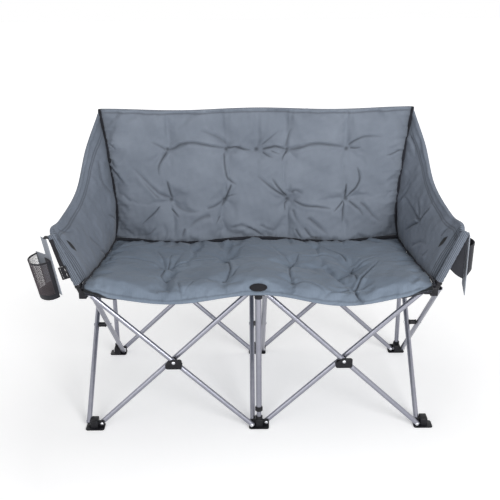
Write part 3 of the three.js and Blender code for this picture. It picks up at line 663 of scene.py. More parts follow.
# Blows a pad up by cloth simulation, with some points held and every move capped
def puff(piece, held, cap):
    mesh = piece.data
    rest = coordinates(mesh)
    group = piece.vertex_groups.new(name="held")
    group.add([int(i) for i in np.nonzero(held)[0]], 1.0, "REPLACE")
    cloth = piece.modifiers.new("cloth", "CLOTH")
    settings = cloth.settings
    settings.quality = 6
    settings.mass = 0.2
    settings.tension_stiffness = 15
    settings.compression_stiffness = 15
    settings.shear_stiffness = 8
    settings.bending_stiffness = 0.6
    settings.vertex_group_mass = "held"
    settings.use_pressure = True
    settings.uniform_pressure_force = puffing["pressure"]
    settings.shrink_min = puffing["shrink"]
    settings.effector_weights.gravity = 0
    cloth.collision_settings.use_collision = False
    cloth.point_cache.frame_start = 1
    cloth.point_cache.frame_end = puffing["frames"]
    scene = bpy.context.scene
    for number in range(1, puffing["frames"] + 1):
        scene.frame_set(number)
    shown = piece.evaluated_get(bpy.context.evaluated_depsgraph_get())
    moved = coordinates(shown.data) - rest
    piece.modifiers.clear()
    piece.vertex_groups.clear()
    scene.frame_set(1)
    length = np.linalg.norm(moved, axis=1)
    moved *= np.minimum(1, cap / np.maximum(length, 1e-9))[:, None]
    setCoordinates(mesh, rest + moved)


def subdivide(piece, levels):
    modifier = piece.modifiers.new("smooth", "SUBSURF")
    modifier.levels = levels
    modifier.render_levels = levels
    settle(piece)


# How far each flat point lies from a line of points, how far along it is, and on which side
def alongLine(points, line):
    line = np.array(line, float)
    lengths = np.linalg.norm(np.diff(line, axis=0), axis=1)
    starts = np.concatenate([[0], np.cumsum(lengths)])
    best = np.full(len(points), np.inf)
    share = np.zeros(len(points))
    side = np.zeros(len(points))
    for i, length in enumerate(lengths):
        direction = (line[i + 1] - line[i]) / length
        offset = points - line[i]
        run = np.clip(offset @ direction, 0, length)
        gap = offset - run[:, None] * direction
        distance = np.linalg.norm(gap, axis=1)
        closer = distance < best
        best[closer] = distance[closer]
        share[closer] = (starts[i] + run[closer]) / starts[-1]
        turn = direction[0] * gap[:, 1] - direction[1] * gap[:, 0]
        side[closer] = np.sign(turn[closer])
    return best, share, side


foldShape = {"startFade": 0.12, "endFade": 0.35, "core": 0.4, "softFrom": 9, "softRange": 3,
             "grooveWidth": 1.5, "heaps": (0.62, 0.34), "ridgeAt": 3.4, "ridgeWidth": 2.4,
             "softShade": 0.4, "darkDepth": 6, "shadeWidth": 0.9}


# Sewn and pulled folds: a sharp groove along each line, with the cloth heaped up beside it, and the painted
# shade in each groove. Each fold is (depth at its start, depth at its end, width, points), in millimetres.
def creaseHeight(points, folds, strength):
    form = foldShape
    height = np.zeros(len(points))
    dark = np.zeros(len(points))
    for first, last, width, line in folds:
        smooth = splineThrough(line, np.linspace(0, 1, 8 * len(line)))
        distance, share, side = alongLine(points, smooth)
        ends = np.clip(share / form["startFade"], 0, 1) * np.clip((1 - share) / form["endFade"], 0, 1)
        depth = strength * mix(first, last, share) * np.sqrt(ends)
        core = form["core"] * width
        sharp = np.clip((form["softFrom"] - width) / form["softRange"], 0, 1)
        soft = np.exp(-(distance / (form["grooveWidth"] * core)) ** 2)
        groove = mix(soft, np.exp(-distance / core), sharp)
        ridge = np.exp(-((distance - form["ridgeAt"] * core) / (form["ridgeWidth"] * core)) ** 2)
        height += depth * (np.where(side > 0, *form["heaps"]) * ridge - groove)
        shade = mix(form["softShade"], 1.0, sharp) * np.clip(depth / form["darkDepth"], 0, 1)
        dark = np.maximum(dark, shade * np.exp(-(distance / (form["shadeWidth"] * core)) ** 2))
    return height, dark


def tuftAway(points, tufts):
    return np.min([np.linalg.norm(points - np.array(tuft), axis=1) for tuft in tufts], axis=0)


# Painted shade in the pit of each tuft
def tuftShade(points, tufts):
    return 0.9 * np.exp(-(tuftAway(points, tufts) / 5) ** 2)


def tuftHeight(points, tufts, depth, radius):
    height = np.zeros(len(points))
    for tuft in tufts:
        away = np.linalg.norm(points - np.array(tuft), axis=1)
        height -= depth * np.exp(-away / radius)
    return height


# Short pleats that run out from each tuft
def pleatHeight(points, tufts, depth, reach, seed):
    rng = np.random.default_rng(seed)
    height = np.zeros(len(points))
    for tuft in tufts:
        offset = points - np.array(tuft)
        away = np.linalg.norm(offset, axis=1) / reach
        angle = np.arctan2(offset[:, 1], offset[:, 0])
        phase = rng.uniform(0, 2 * math.pi)
        count = rng.integers(4, 7)
        height += depth * away * np.exp(1 - away) * np.cos(count * angle + phase + np.sin(angle - phase))
    return height


# Gentle swells of the padding: waves in random directions
def lumpHeight(points, spacing, depth, seed):
    rng = np.random.default_rng(seed)
    height = np.zeros(len(points))
    for _ in range(9):
        angle = rng.uniform(0, 2 * math.pi)
        phase = rng.uniform(0, 2 * math.pi)
        stretch = rng.uniform(0.7, 1.4)
        run = points @ np.array((math.cos(angle), math.sin(angle)))
        height += np.sin(2 * math.pi * run / (spacing * stretch) + phase)
    return depth * height / 3


# Folds, tufts, pleats and lumps of a quilted pad, and the painted shade in its folds and tufts
def quilt(flat, form):
    height, dark = creaseHeight(flat, form["folds"], form["foldStrength"])
    tufts = form["tufts"]
    height += tuftHeight(flat, tufts, *form["tuftPull"]) + pleatHeight(flat, tufts, *form["pleats"])
    wide, narrow = form["lumpSeeds"]
    height += lumpHeight(flat, 95, 1.6, wide) + lumpHeight(flat, 34, 0.6, narrow)
    return height, np.maximum(dark, tuftShade(flat, tufts))


# Puckers along a seam, for a distance along it and a distance from it
def gather(along, away, depth, reach):
    wave = 0.6 * np.sin(2 * math.pi * along / 23) + 0.4 * np.sin(2 * math.pi * along / 14.3 + 1.3)
    return depth * wave * np.exp(-away / reach)


# Painted shade in folds, seams, stitches and slits, on the face that shows them, stored as the fold
# attribute for the cloth's colour
def setFolds(mesh, dark, facing=None):
    if facing:
        dark = dark * np.clip((vertexNormals(mesh) @ np.array(facing) + 0.2) / 0.4, 0, 1)
    attribute = mesh.attributes.new("fold", "FLOAT", "POINT")
    attribute.data.foreach_set("value", np.clip(dark, 0, 3).astype(np.float32))


def moveAlongNormals(mesh, height, facing):
    normals = vertexNormals(mesh)
    seen = np.clip((normals @ np.array(facing) - 0.1) / 0.4, 0, 1)
    setCoordinates(mesh, coordinates(mesh) + normals * (height * seen)[:, None] * millimetre)


# The weave lies on a flat map of the cloth, in metres
def mapWeave(mesh, across, up):
    places = coordinates(mesh)
    flat = np.stack([places @ np.array(across), places @ np.array(up)], axis=1)
    layer = mesh.uv_layers.new(name="weave") if not mesh.uv_layers else mesh.uv_layers[0]
    corners = np.empty(len(mesh.loops), dtype=np.int32)
    mesh.loops.foreach_get("vertex_index", corners)
    layer.data.foreach_set("uv", flat[corners].astype(np.float32).ravel())


plate = {"width": 0.052, "height": 0.025, "bed": 0.0012, "restEnd": 1.7, "restFade": 0.5}
seat = {
    "lipRadius": 0.024, "lipFront": -0.030, "frontSag": (0.028, 0.038), "rearSag": 0.012, "hammock": 0.008,
    "frontInset": 0.008, "rearInset": 0.028, "thickness": 0.026, "edge": 0.012, "ramp": 0.028,
    "hubLevel": 0.4968, "rearLevel": 0.464, "rearY": 0.458, "hubBack": 0.022, "foldY": 0.214,
    "lipShare": 0.12, "cells": (160, 84), "cap": 0.011, "foldStrength": 0.8, "tape": (85, 15),
    "lipBack": 0.02, "tuftHold": 7, "tuftPull": (4.0, 6.0), "pleats": (1.3, 24, 3), "lumpSeeds": (11, 12),
    "tufts": [(-293, 190), (-100, 232), (108, 180), (300, 176),
              (-282, 76), (-103, 30), (103, 22), (292, 18)],
    "folds": [
        (6, 2, 5, [(-291, 187), (-287, 220), (-288, 275), (-284, 315)]),
        (4, 2, 11, [(-296, 186), (-324, 215), (-360, 234), (-396, 245), (-440, 243), (-472, 217)]),
        (6, 4, 6, [(-290, 180), (-298, 130), (-298, 95), (-278, 70)]),
        (3, 1, 8, [(-287, 187), (-271, 221), (-255, 297), (-247, 350)]),
        (2, 4, 7, [(-338, 344), (-312, 272), (-294, 197)]),
        (4, 3, 9, [(-280, 204), (-235, 230), (-181, 240), (-100, 228)]),
        (6, 4, 6, [(-102, 228), (-91, 169), (-86, 103), (-95, 45), (-105, 26)]),
        (4, 1, 6, [(-82, 38), (-69, 83), (-55, 130)]),
        (4, 2, 8, [(-105, 26), (-135, 31), (-170, 50), (-193, 37)]),
        (4, 1, 6, [(-92, 262), (-60, 250), (-31, 256)]),
        (3, 1, 7, [(-193, 37), (-208, 3), (-222, -26)]),
        (4, 2, 7, [(-243, 40), (-236, 0), (-225, -40)]),
        (3, 1, 10, [(-493, 214), (-476, 265), (-451, 294)]),
        (6, 2, 5, [(106, 164), (112, 199), (125, 224)]),
        (5, 5, 6, [(106, 164), (98, 107), (99, 54), (104, 15)]),
        (4, 1, 5, [(125, 224), (136, 277), (146, 304)]),
        (4, 1, 9, [(105, 209), (73, 293), (38, 376)]),
        (4, 3, 9, [(143, 262), (184, 275), (219, 301), (253, 280), (276, 234)]),
        (6, 3, 5, [(299, 174), (308, 200), (319, 209)]),
        (5, 4, 6, [(299, 174), (300, 139), (303, 103), (303, 57)]),
        (6, 3, 6, [(293, 243), (282, 289), (262, 323), (210, 397)]),
        (4, 1, 9, [(311, 194), (341, 219), (381, 250), (418, 283)]),
        (8, 3, 6, [(290, 12), (308, 55), (329, 99), (348, 132), (396, 218)]),
        (7, 3, 7, [(290, 12), (294, -10), (304, -30), (313, -45)]),
        (5, 3, 7, [(290, 12), (279, 28), (263, 15), (226, -10), (194, -30)]),
        (4, 3, 8, [(104, 15), (139, 19), (177, 0), (203, -25)]),
    ],
}


def seatMiddle(u, v):
    lip = np.clip(v / seat["lipShare"], 0, 1) * math.pi / 2
    flatStart = seat["lipFront"] + seat["lipRadius"]
    run = np.clip((v - seat["lipShare"]) / (1 - seat["lipShare"]), 0, 1)
    inLip = v < seat["lipShare"]
    y = np.where(inLip, flatStart - seat["lipRadius"] * np.cos(lip), mix(flatStart, seat["rearY"], run))
    depth = np.clip((y - seat["hubBack"]) / (seat["rearY"] - seat["hubBack"]), 0, 1)
    half = pitch - mix(seat["frontInset"], seat["rearInset"], depth)
    x = mix(-half, half, u)
    front = seat["hubLevel"] - np.where(x < 0, *seat["frontSag"]) * hang(x)
    rear = seat["rearLevel"] - seat["rearSag"] * hang(x)
    level = mix(front, rear, depth) - seat["hammock"] * np.sin(math.pi * depth)
    shortLip = 1 - 0.5 * np.clip((np.abs(x) - 0.44) / 0.076, 0, 1)
    drop = seat["lipRadius"] * shortLip * (1 - np.sin(lip))
    return stack(x, y, level - np.where(inLip, drop, 0))


# Share along the seat's run, lip and all, at a depth behind the lip
def seatRunShare(y):
    flatStart = seat["lipFront"] + seat["lipRadius"]
    return mix(seat["lipShare"], 1.0, (y - flatStart) / (seat["rearY"] - flatStart))


def seatDepthShare(y):
    return np.clip((y - seat["lipFront"]) / (seat["rearY"] - seat["lipFront"]), 0, 1)


def addSeat():
    def upper(u, v):
        place = seatMiddle(u, v)
        rise = crown(u) * crown(seatDepthShare(place[:, 1]))
        full = mix(seat["edge"], seat["thickness"], rise) / 2
        flat = place[:, :2] / millimetre
        return full - 0.002 * rise + tuftHeight(flat, seat["tufts"], 8.0, 24.0) * millimetre

    def lower(u, v):
        share = np.clip((seatMiddle(u, v)[:, 1] - seat["lipFront"]) / seat["ramp"], 0, 1)
        return mix(seat["edge"], seat["thickness"], share * crown(u)) / 2

    bm = padShell(seat["cells"], seatMiddle, upper, lower)
    whole = makePiece(bm, "seatWhole", seatCloth, 60)
    places = coordinates(whole.data)
    normals = vertexNormals(whole.data)
    flat = places[:, :2] / millimetre
    held = normals[:, 2] < 0.25
    held &= ~((places[:, 1] < 0.0) & (normals[:, 1] < -0.4))
    held |= np.abs(flat[:, 0]) > (pitch - seat["rearInset"]) / millimetre - 3
    held |= places[:, 1] > seat["rearY"] - 0.006
    held |= (places[:, 1] < 0.0) & (aboveSeatEdge(places) < 7)
    held |= tuftAway(flat, seat["tufts"]) < seat["tuftHold"]
    puff(whole, held, seat["cap"])
    subdivide(whole, 1)
    places = coordinates(whole.data)
    flat = places[:, :2] / millimetre
    height, dark = quilt(flat, seat)
    halfWidth = pitch - mix(seat["frontInset"], seat["rearInset"], seatDepthShare(places[:, 1]))
    sideAway = np.maximum(0, halfWidth / millimetre - np.abs(flat[:, 0]))
    rearAway = np.maximum(0, seat["rearY"] / millimetre - flat[:, 1])
    height += gather(flat[:, 1], sideAway, 1.6, 26) + gather(flat[:, 0], rearAway, 0.6, 26)
    # Painted shade along the seat's side and rear seams
    dark = np.maximum(dark, 0.75 * np.exp(-np.minimum(sideAway, rearAway) / 10))
    moveAlongNormals(whole.data, height, (0, -0.3, 0.95))
    dark = np.maximum(dark, seatHem(whole.data))
    restUnderPlate(whole.data)
    setFolds(whole.data, dark, (0, -0.5, 0.87))
    mapWeave(whole.data, (1, 0, 0), (0, 1, -0.6))
    for name, body, front in (("seatFront", "seat_front", True), ("seatRear", "seat_rear", False)):
        half = bmesh.new()
        half.from_mesh(whole.data)
        bmesh.ops.bisect_plane(half, geom=half.verts[:] + half.edges[:] + half.faces[:],
                               plane_co=(0, seat["foldY"], 0), plane_no=(0, 1, 0),
                               clear_outer=front, clear_inner=not front)
        rim = [edge for edge in half.edges if edge.is_boundary]
        bmesh.ops.triangle_fill(half, edges=rim, use_beauty=True)
        bmesh.ops.recalc_face_normals(half, faces=half.faces)
        piece = makePiece(half, name, seatCloth, 70)
        node = "seat_pad_front" if front else "seat_pad_rear"
        dress(piece, body, "grey_cloth", node)
        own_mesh(piece)
    bpy.data.objects.remove(whole)


# Height in millimetres above the front edge
def aboveSeatEdge(places):
    share = np.clip((places[:, 0] / (pitch - seat["frontInset"]) + 1) / 2, 0, 1)
    return (places[:, 2] - seatMiddle(share, np.zeros(len(share)))[:, 2]) / millimetre


# The cloth lies flat behind the oval plate
def restUnderPlate(mesh):
    low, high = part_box("seat_plate")
    places = coordinates(mesh)
    offset = places - np.array((low + high) / 2)
    outward = np.array((0, -1, 1)) / math.sqrt(2)
    upward = np.array((0, 1, 1)) / math.sqrt(2)
    away = np.hypot(offset[:, 0] / plate["width"], offset @ upward / plate["height"]) * 2
    proud = np.maximum(0, offset @ outward + plate["bed"])
    proud *= np.clip((plate["restEnd"] - away) / plate["restFade"], 0, 1)
    proud *= places[:, 1] < seat["lipBack"]
    setCoordinates(mesh, places - proud[:, None] * outward)


# The stitched hem runs a finger's width above the front edge, with painted shade in its groove; black tape
# binds the corners
def seatHem(mesh):
    places = coordinates(mesh)
    normals = vertexNormals(mesh)
    onLip = places[:, 1] < seat["lipBack"]
    front = np.clip(-1.6 * normals[:, 1], 0, 1) * onLip
    stitch = front * np.exp(-((aboveSeatEdge(places) - 13) / 2.4) ** 2)
    setCoordinates(mesh, places - normals * (0.8 * stitch)[:, None] * millimetre)
    cornerAway = (pitch - seat["frontInset"] - np.abs(places[:, 0])) / millimetre
    tapeLength, tapeHeight = seat["tape"]
    tape = tapeHeight * (1 - cornerAway / tapeLength)
    taped = 3 * np.clip((tape - aboveSeatEdge(places)) / 3, 0, 1) * onLip
    # The hem's darkening is painted shade; the tape's is its own black colour
    return np.maximum(0.3 * stitch, taped)


back = {
    "bottomY": 0.470, "topY": 0.4877, "bottom": 0.472, "top": 0.929, "topSag": 0.007, "bottomSag": 0.020,
    "lean": 0.7, "waistInset": 0.038, "waistRise": 0.108, "bottomInset": 0.026, "overhang": 0.001,
    "flare": 1.3, "thickness": 0.026, "edge": 0.016, "cells": (160, 72), "cap": 0.012, "foldStrength": 1.2,
    "tuftHold": 7, "tuftPull": (5.0, 6.0), "pleats": (1.5, 26, 5), "lumpSeeds": (21, 22),
    "tufts": [(-302, 790), (-103, 790), (0, 788), (104, 788), (306, 788),
              (-296, 613), (-111, 613), (106, 612), (309, 611)],
    "folds": [
        (6, 5, 8, [(-302, 787), (-280, 794), (-258, 807), (-235, 814), (-210, 815), (-184, 810),
                   (-155, 804), (-104, 793)]),
        (6, 2, 7, [(-304, 783), (-318, 764), (-330, 742), (-334, 723), (-332, 702)]),
        (3, 1, 7, [(-306, 787), (-320, 798), (-338, 811), (-356, 821)]),
        (4, 2, 9, [(-99, 804), (-129, 832), (-150, 843), (-190, 858)]),
        (6, 4, 6, [(-102, 794), (-86, 796), (-64, 798), (-16, 786)]),
        (3, 4, 6, [(-110, 778), (-109, 747), (-105, 717), (-97, 690), (-69, 670)]),
        (4, 5, 6, [(-86, 671), (-96, 647), (-103, 628), (-121, 589)]),
        (3, 1, 5, [(-105, 622), (-88, 630), (-68, 635)]),
        (4, 2, 9, [(-288, 602), (-270, 588), (-248, 578), (-221, 574), (-195, 577)]),
        (3, 4, 8, [(-172, 585), (-145, 593), (-115, 608)]),
        (3, 6, 6, [(-305, 684), (-302, 661), (-296, 634), (-290, 618)]),
        (5, 2, 9, [(-299, 618), (-321, 630), (-342, 646), (-364, 669), (-385, 692), (-423, 735)]),
        (3, 1, 8, [(-336, 622), (-364, 654), (-392, 689)]),
        (5, 4, 5, [(-334, 595), (-353, 573), (-377, 551), (-401, 528)]),
        (4, 3, 5, [(-296, 582), (-282, 566), (-269, 552)]),
        (5, 2, 15, [(-161, 561), (-192, 550), (-219, 534), (-235, 516)]),
        (3, 1, 6, [(-127, 555), (-143, 527)]),
        (4, 3, 9, [(-90, 511), (-64, 521), (-41, 520), (10, 488)]),
        (3, 2, 8, [(-352, 517), (-369, 499), (-388, 487), (-415, 479)]),
        (7, 2, 8, [(-504, 762), (-489, 743), (-472, 724)]),
        (7, 2, 8, [(-500, 736), (-484, 712), (-467, 682)]),
        (3, 1, 6, [(-499, 813), (-488, 803), (-477, 788)]),
        (4, 2, 8, [(-250, 514), (-258, 494), (-263, 474)]),
        (5, 5, 6, [(20, 790), (45, 797), (68, 799), (102, 787)]),
        (3, 1, 5, [(49, 786), (64, 780), (83, 772)]),
        (4, 1, 6, [(20, 780), (41, 768), (58, 762)]),
        (3, 1, 7, [(19, 805), (41, 824), (64, 843), (79, 853)]),
        (5, 2, 6, [(105, 785), (94, 770), (87, 750)]),
        (3, 1, 7, [(100, 795), (105, 824), (112, 850), (123, 862)]),
        (6, 5, 8.5, [(107, 785), (128, 791), (173, 804), (203, 808), (226, 807), (275, 799), (302, 793)]),
        (5, 1, 7, [(312, 800), (327, 814), (349, 827), (375, 833), (428, 832)]),
        (4, 2, 6, [(317, 791), (336, 792), (354, 797)]),
        (4, 2, 6, [(491, 780), (461, 771), (439, 767)]),
        (3, 6, 6, [(344, 729), (353, 689), (346, 665), (334, 646), (305, 612)]),
        (3, 6, 5, [(308, 670), (307, 650), (305, 614)]),
        (6, 3, 5, [(300, 606), (282, 585), (268, 571)]),
        (5, 3, 5, [(302, 604), (301, 569), (302, 532)]),
        (5, 2, 7, [(318, 606), (340, 589), (356, 577), (372, 552)]),
        (4, 2, 8, [(356, 605), (379, 585), (407, 552), (440, 527)]),
        (6, 3, 6, [(106, 620), (87, 644), (68, 668), (53, 692)]),
        (6, 2, 7, [(103, 620), (76, 640), (49, 660), (3, 700)]),
        (4, 2, 5, [(106, 608), (99, 595), (99, 571)]),
        (5, 2, 10, [(118, 635), (133, 647), (161, 635)]),
        (4, 4, 7, [(126, 611), (165, 593), (212, 588), (258, 582)]),
        (4, 1, 9, [(123, 579), (135, 550), (151, 525)]),
        (5, 2, 11, [(178, 550), (201, 529), (225, 508), (249, 487)]),
        (3, 4, 7, [(135, 509), (143, 492), (155, 471)]),
        (3, 4, 7, [(166, 513), (179, 492), (195, 471)]),
        (4, 3, 8, [(-30, 514), (-15, 506), (6, 489), (29, 476)]),
        (3, 1, 8, [(10, 524), (37, 510), (69, 497)]),
        (4, 1, 7, [(491, 652), (480, 636), (475, 624)]),
    ],
}


def backHalf(rise):
    waist = pitch - back["waistInset"]
    toWaist = np.sin(np.clip(rise / back["waistRise"], 0, 1) * math.pi / 2)
    below = mix(pitch - back["bottomInset"], waist, toWaist)
    tall = back["top"] - back["bottom"]
    share = np.clip((rise - back["waistRise"]) / (tall - back["waistRise"]), 0, 1)
    above = mix(waist, pitch + back["overhang"], share ** back["flare"])
    return np.where(rise < back["waistRise"], below, above)


def backMiddle(u, v):
    half = backHalf(v * (back["top"] - back["bottom"]))
    x = mix(-half, half, u)
    top = back["top"] - back["topSag"] * hang(x)
    bottom = back["bottom"] - back["bottomSag"] * hang(x)
    return stack(x, mix(back["bottomY"], back["topY"], v ** back["lean"]), mix(bottom, top, v))


# Distances in millimetres from the back's sides, bottom and top
def backAway(flat):
    sag = hang(flat[:, 0] * millimetre)
    rise = np.clip(flat[:, 1] * millimetre - back["bottom"], 0, 1)
    side = backHalf(rise) / millimetre - np.abs(flat[:, 0])
    low = flat[:, 1] - (back["bottom"] - back["bottomSag"] * sag) / millimetre
    top = (back["top"] - back["topSag"] * sag) / millimetre - flat[:, 1]
    return [np.maximum(0, away) for away in (side, low, top)]


def addBack():
    def front(u, v):
        place = backMiddle(u, v)
        rise = crown(u) * crown(v)
        full = mix(back["edge"] / 2, back["thickness"] - back["edge"] / 2, rise)
        flat = place[:, [0, 2]] / millimetre
        return full - 0.003 * rise + tuftHeight(flat, back["tufts"], 10.0, 26.0) * millimetre

    bm = padShell(back["cells"], backMiddle, front, evenly(back["edge"] / 2))
    piece = makePiece(bm, "backPad", backCloth, 60)
    places = coordinates(piece.data)
    normals = vertexNormals(piece.data)
    flat = places[:, [0, 2]] / millimetre
    held = (normals[:, 1] > -0.5) | (np.min(backAway(flat), axis=0) < 4)
    held |= tuftAway(flat, back["tufts"]) < back["tuftHold"]
    puff(piece, held, back["cap"])
    subdivide(piece, 1)
    flat = coordinates(piece.data)[:, [0, 2]] / millimetre
    height, dark = quilt(flat, back)
    sideAway, lowAway, topAway = backAway(flat)
    height += gather(flat[:, 1], sideAway, 1.8, 30) + gather(flat[:, 0], lowAway, 1.1, 34)
    hem = np.exp(-((topAway - 12) / 2.4) ** 2)
    height += gather(flat[:, 0], topAway, 0.8, 18) - 1.6 * hem
    # Painted shade along the side and bottom seams, in the top hem's groove and in the bottom corners
    dark = np.maximum(dark, 0.65 * np.exp(-np.minimum(sideAway, lowAway) / 10))
    corner = 0.55 * np.exp(-np.hypot(sideAway, lowAway) / 55)
    dark = np.max([dark, 0.4 * hem, corner], axis=0)
    moveAlongNormals(piece.data, height, (0, -1, 0))
    setFolds(piece.data, dark, (0, -1, 0))
    mapWeave(piece.data, (1, 0, 0), (0, 0, 1))
    dress(piece, "rear_foot_centre", "grey_cloth", "back_pad")
    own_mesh(piece)


arm = {
    "thickness": 0.012, "edge": 0.006, "postGap": 0.0124, "start": 0.020, "seatGap": 0.003,
    "seamRise": 0.004, "backGap": 0.0008, "backLead": 0.003, "cells": (110, 76), "crowd": 1.6,
    "length": 500.0, "height": 260.0, "foldStrength": 1.3, "hems": (19, 25), "hemRoll": 3.5,
    "hemWidth": 2.0, "hemShare": 0.45, "rows": (6, 13, 20, 27), "rowWidth": 1.5, "stitchDepth": 1.3,
    "slitWidths": (0.6, 8),
    "top": {
        "left": [(0.092, 0.060, 0.189), (0.083, 0.140, 0.188),
                 (0.059, 0.300, 0.233), (0.042, 0.420, 0.343)],
        "right": [(0.086, 0.060, 0.191), (0.071, 0.140, 0.194),
                  (0.047, 0.300, 0.246), (0.035, 0.420, 0.350)],
    },
    "seam": (0.045, 0.125, 0.270, 0.370), "backShares": (0, 0.15, 0.3, 0.5, 0.7, 0.85, 0.98),
    "slits": {"left": [(72, 612), (78, 590), (85, 572)], "right": [(72, 614), (79, 595), (85, 576)]},
    "folds": {
        "left": [
            (3, 1, 11, [(220, 572), (240, 543), (267, 513)]),
            (4, 1, 8, [(449, 551), (417, 573), (392, 588)]),
            (3, 1, 9, [(79, 647), (116, 623), (157, 612)]),
            (3, 1, 11, [(434, 767), (422, 700), (426, 642)]),
            (4, 1, 8, [(300, 475), (270, 500), (240, 515)]),
            (3, 1, 9, [(455, 640), (430, 680), (415, 720)]),
        ],
        "right": [
            (6, 3, 6, [(268, 596), (257, 622), (240, 654)]),
            (5, 1, 8, [(268, 594), (363, 617), (427, 634)]),
            (4, 1, 9, [(269, 597), (323, 643), (327, 674)]),
            (5, 2, 7, [(276, 590), (322, 561), (373, 528)]),
            (4, 1, 9, [(110, 604), (105, 627), (94, 650)]),
            (4, 1, 9, [(271, 510), (220, 543), (167, 555)]),
            (4, 1, 7, [(159, 518), (136, 549)]),
            (4, 1, 8, [(467, 833), (446, 808), (423, 772)]),
            (4, 1, 9, [(455, 600), (420, 650), (400, 700)]),
        ],
    },
}


# Share of the way from the post to the back, with more cells near the post
def armAcross(u, sign):
    return (u if sign > 0 else 1 - u) ** arm["crowd"]


# The arm panel's middle surface between the post, the seat, the back and its own top edge
def armSurface(side):
    sign = sideSign[side]
    half = arm["edge"] / 2

    def atPost(distance):
        return np.array(armPoint(side, distance)) + (columnX[side], arm["postGap"], 0)

    def atSeat(y):
        edge = seatMiddle(np.array([1.0]), np.array([seatRunShare(y)]))[0]
        return np.array((sign * (edge[0] + arm["seatGap"] + half), y, edge[2] + arm["seamRise"]))

    def atBack(share):
        edge = backMiddle(np.array([1.0]), np.array([float(share)]))[0]
        return np.array((sign * (edge[0] + arm["backGap"] + half), edge[1] - arm["backLead"], edge[2]))

    rear = [atBack(share) for share in arm["backShares"]]
    top = [np.array((sign * (pitch + x), y, hubPin + z)) for x, y, z in arm["top"][side]]
    top = [atPost(armLength), *top, rear[-1]]
    bottom = [atPost(arm["start"])] + [atSeat(y) for y in arm["seam"]] + [rear[0]]

    def surface(u, v):
        across = armAcross(u, sign)
        low, high = splineThrough(bottom, across), splineThrough(top, across)
        front = mix(bottom[0], top[0], v[:, None])
        end = splineThrough(rear, v)
        t, s = across[:, None], v[:, None]
        corners = mix(mix(bottom[0], bottom[-1], t), mix(top[0], top[-1], t), s)
        return mix(low, high, s) + mix(front, end, t) - corners

    return surface


def addArms():
    for side, sign in sideSign.items():
        surface = armSurface(side)

        def swell(u, v):
            across = armAcross(u, sign)
            postAway, hemAway = across * arm["length"], (1 - v) * arm["height"]
            puckers = gather(postAway, hemAway, 1.4, 12)
            puckers += gather(v * arm["height"], (1 - across) * arm["length"], 1.6, 26)
            puckers += gather(postAway, v * arm["height"], 1.6, 24)
            roll = arm["hemRoll"] * np.exp(-((hemAway - 9) / 7) ** 2)
            room = np.clip(8 * np.min([across, 1 - across, v, 1 - v], axis=0), 0, 1)
            full = mix(arm["edge"], arm["thickness"], crown(across) * crown(v)) / 2
            return full + (puckers * room + roll) * millimetre

        piece = makePiece(padShell(arm["cells"], surface, swell, swell), f"armPad_{side}", armCloth, 60)
        subdivide(piece, 1)
        flat = coordinates(piece.data)[:, 1:] / millimetre
        height, dark = creaseHeight(flat, arm["folds"][side], arm["foldStrength"])
        height += lumpHeight(flat, 80, 1.5, 31) + lumpHeight(flat, 30, 0.6, 32)

        def awayFrom(u, v):
            return alongLine(flat, surface(u, v)[:, 1:] / millimetre)[0]

        along = np.linspace(0, 1, 40)
        front, rear = np.full(40, (1 - sign) / 2), np.full(40, (1 + sign) / 2)
        seamAway = np.minimum(awayFrom(along, np.zeros(40)), awayFrom(rear, along))
        hemAway, postAway = awayFrom(along, np.ones(40)), awayFrom(front, along)
        hems = sum(np.exp(-((hemAway - place) / arm["hemWidth"]) ** 2) for place in arm["hems"])
        rows = sum(np.exp(-((postAway - place) / arm["rowWidth"]) ** 2) for place in arm["rows"])
        stitches = arm["hemShare"] * hems + rows
        height -= arm["stitchDepth"] * stitches
        slitAway, slitShare, _ = alongLine(flat, arm["slits"][side])
        slitEnd, slitMiddle = arm["slitWidths"]
        slit = 3 * np.exp(-(slitAway / (slitEnd + slitMiddle * np.sin(math.pi * slitShare))) ** 4)
        # Painted shade along the seams, in the stitched rows and hems, and in the slits
        dark = np.max([dark, 0.75 * np.exp(-seamAway / 11), 0.9 * stitches, slit], axis=0)
        moveAlongNormals(piece.data, height, (-sign, 0, 0))
        setFolds(piece.data, dark, (-sign, 0, 0))
        mapWeave(piece.data, (0, 1, 0), (0, 0, 1))
        dress(piece, None, "grey_cloth", f"arm_pad_{side}")
        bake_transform(piece)


addSeat()
print("seat made")
addBack()
print("back made")
addArms()
print("arms made")


# A round cord along points, as a mesh, with its radius in shares along it
def cordMesh(name, points, radius, material, taper=1.0):
    curve = bpy.data.curves.new(name, "CURVE")
    curve.dimensions = "3D"
    curve.bevel_depth = radius
    curve.bevel_resolution = 3
    curve.use_fill_caps = True
    spline = curve.splines.new("POLY")
    spline.points.add(len(points) - 1)
    for point, place, share in zip(spline.points, points, np.broadcast_to(taper, len(points))):
        point.co = (*place, 1)
        point.radius = share
    source = bpy.data.objects.new(name, curve)
    bpy.context.scene.collection.objects.link(source)
    bpy.context.view_layer.update()
    shown = source.evaluated_get(bpy.context.evaluated_depsgraph_get())
    mesh = bpy.data.meshes.new_from_object(shown)
    bpy.data.objects.remove(source)
    mesh.shade_smooth()
    mesh.materials.clear()
    mesh.materials.append(material)
    piece = bpy.data.objects.new(name, mesh)
    bpy.context.scene.collection.objects.link(piece)
    mapWeave(mesh, (1, 0, 0), (0, 0.7, 0.7))
    return piece


piping = {"radius": 0.0042, "creaseRadius": 0.0062, "bindingRadius": 0.0058, "bindingShare": 0.09,
          "backOffset": (0.0005, 0.0085), "creaseOffset": (0, -0.003, 0.003),
          "seatOffset": (0.0025, 0.0045), "bindingOffset": (0, 0.002, -0.003), "seatStart": 0.05,
          "foldGap": 0.002}


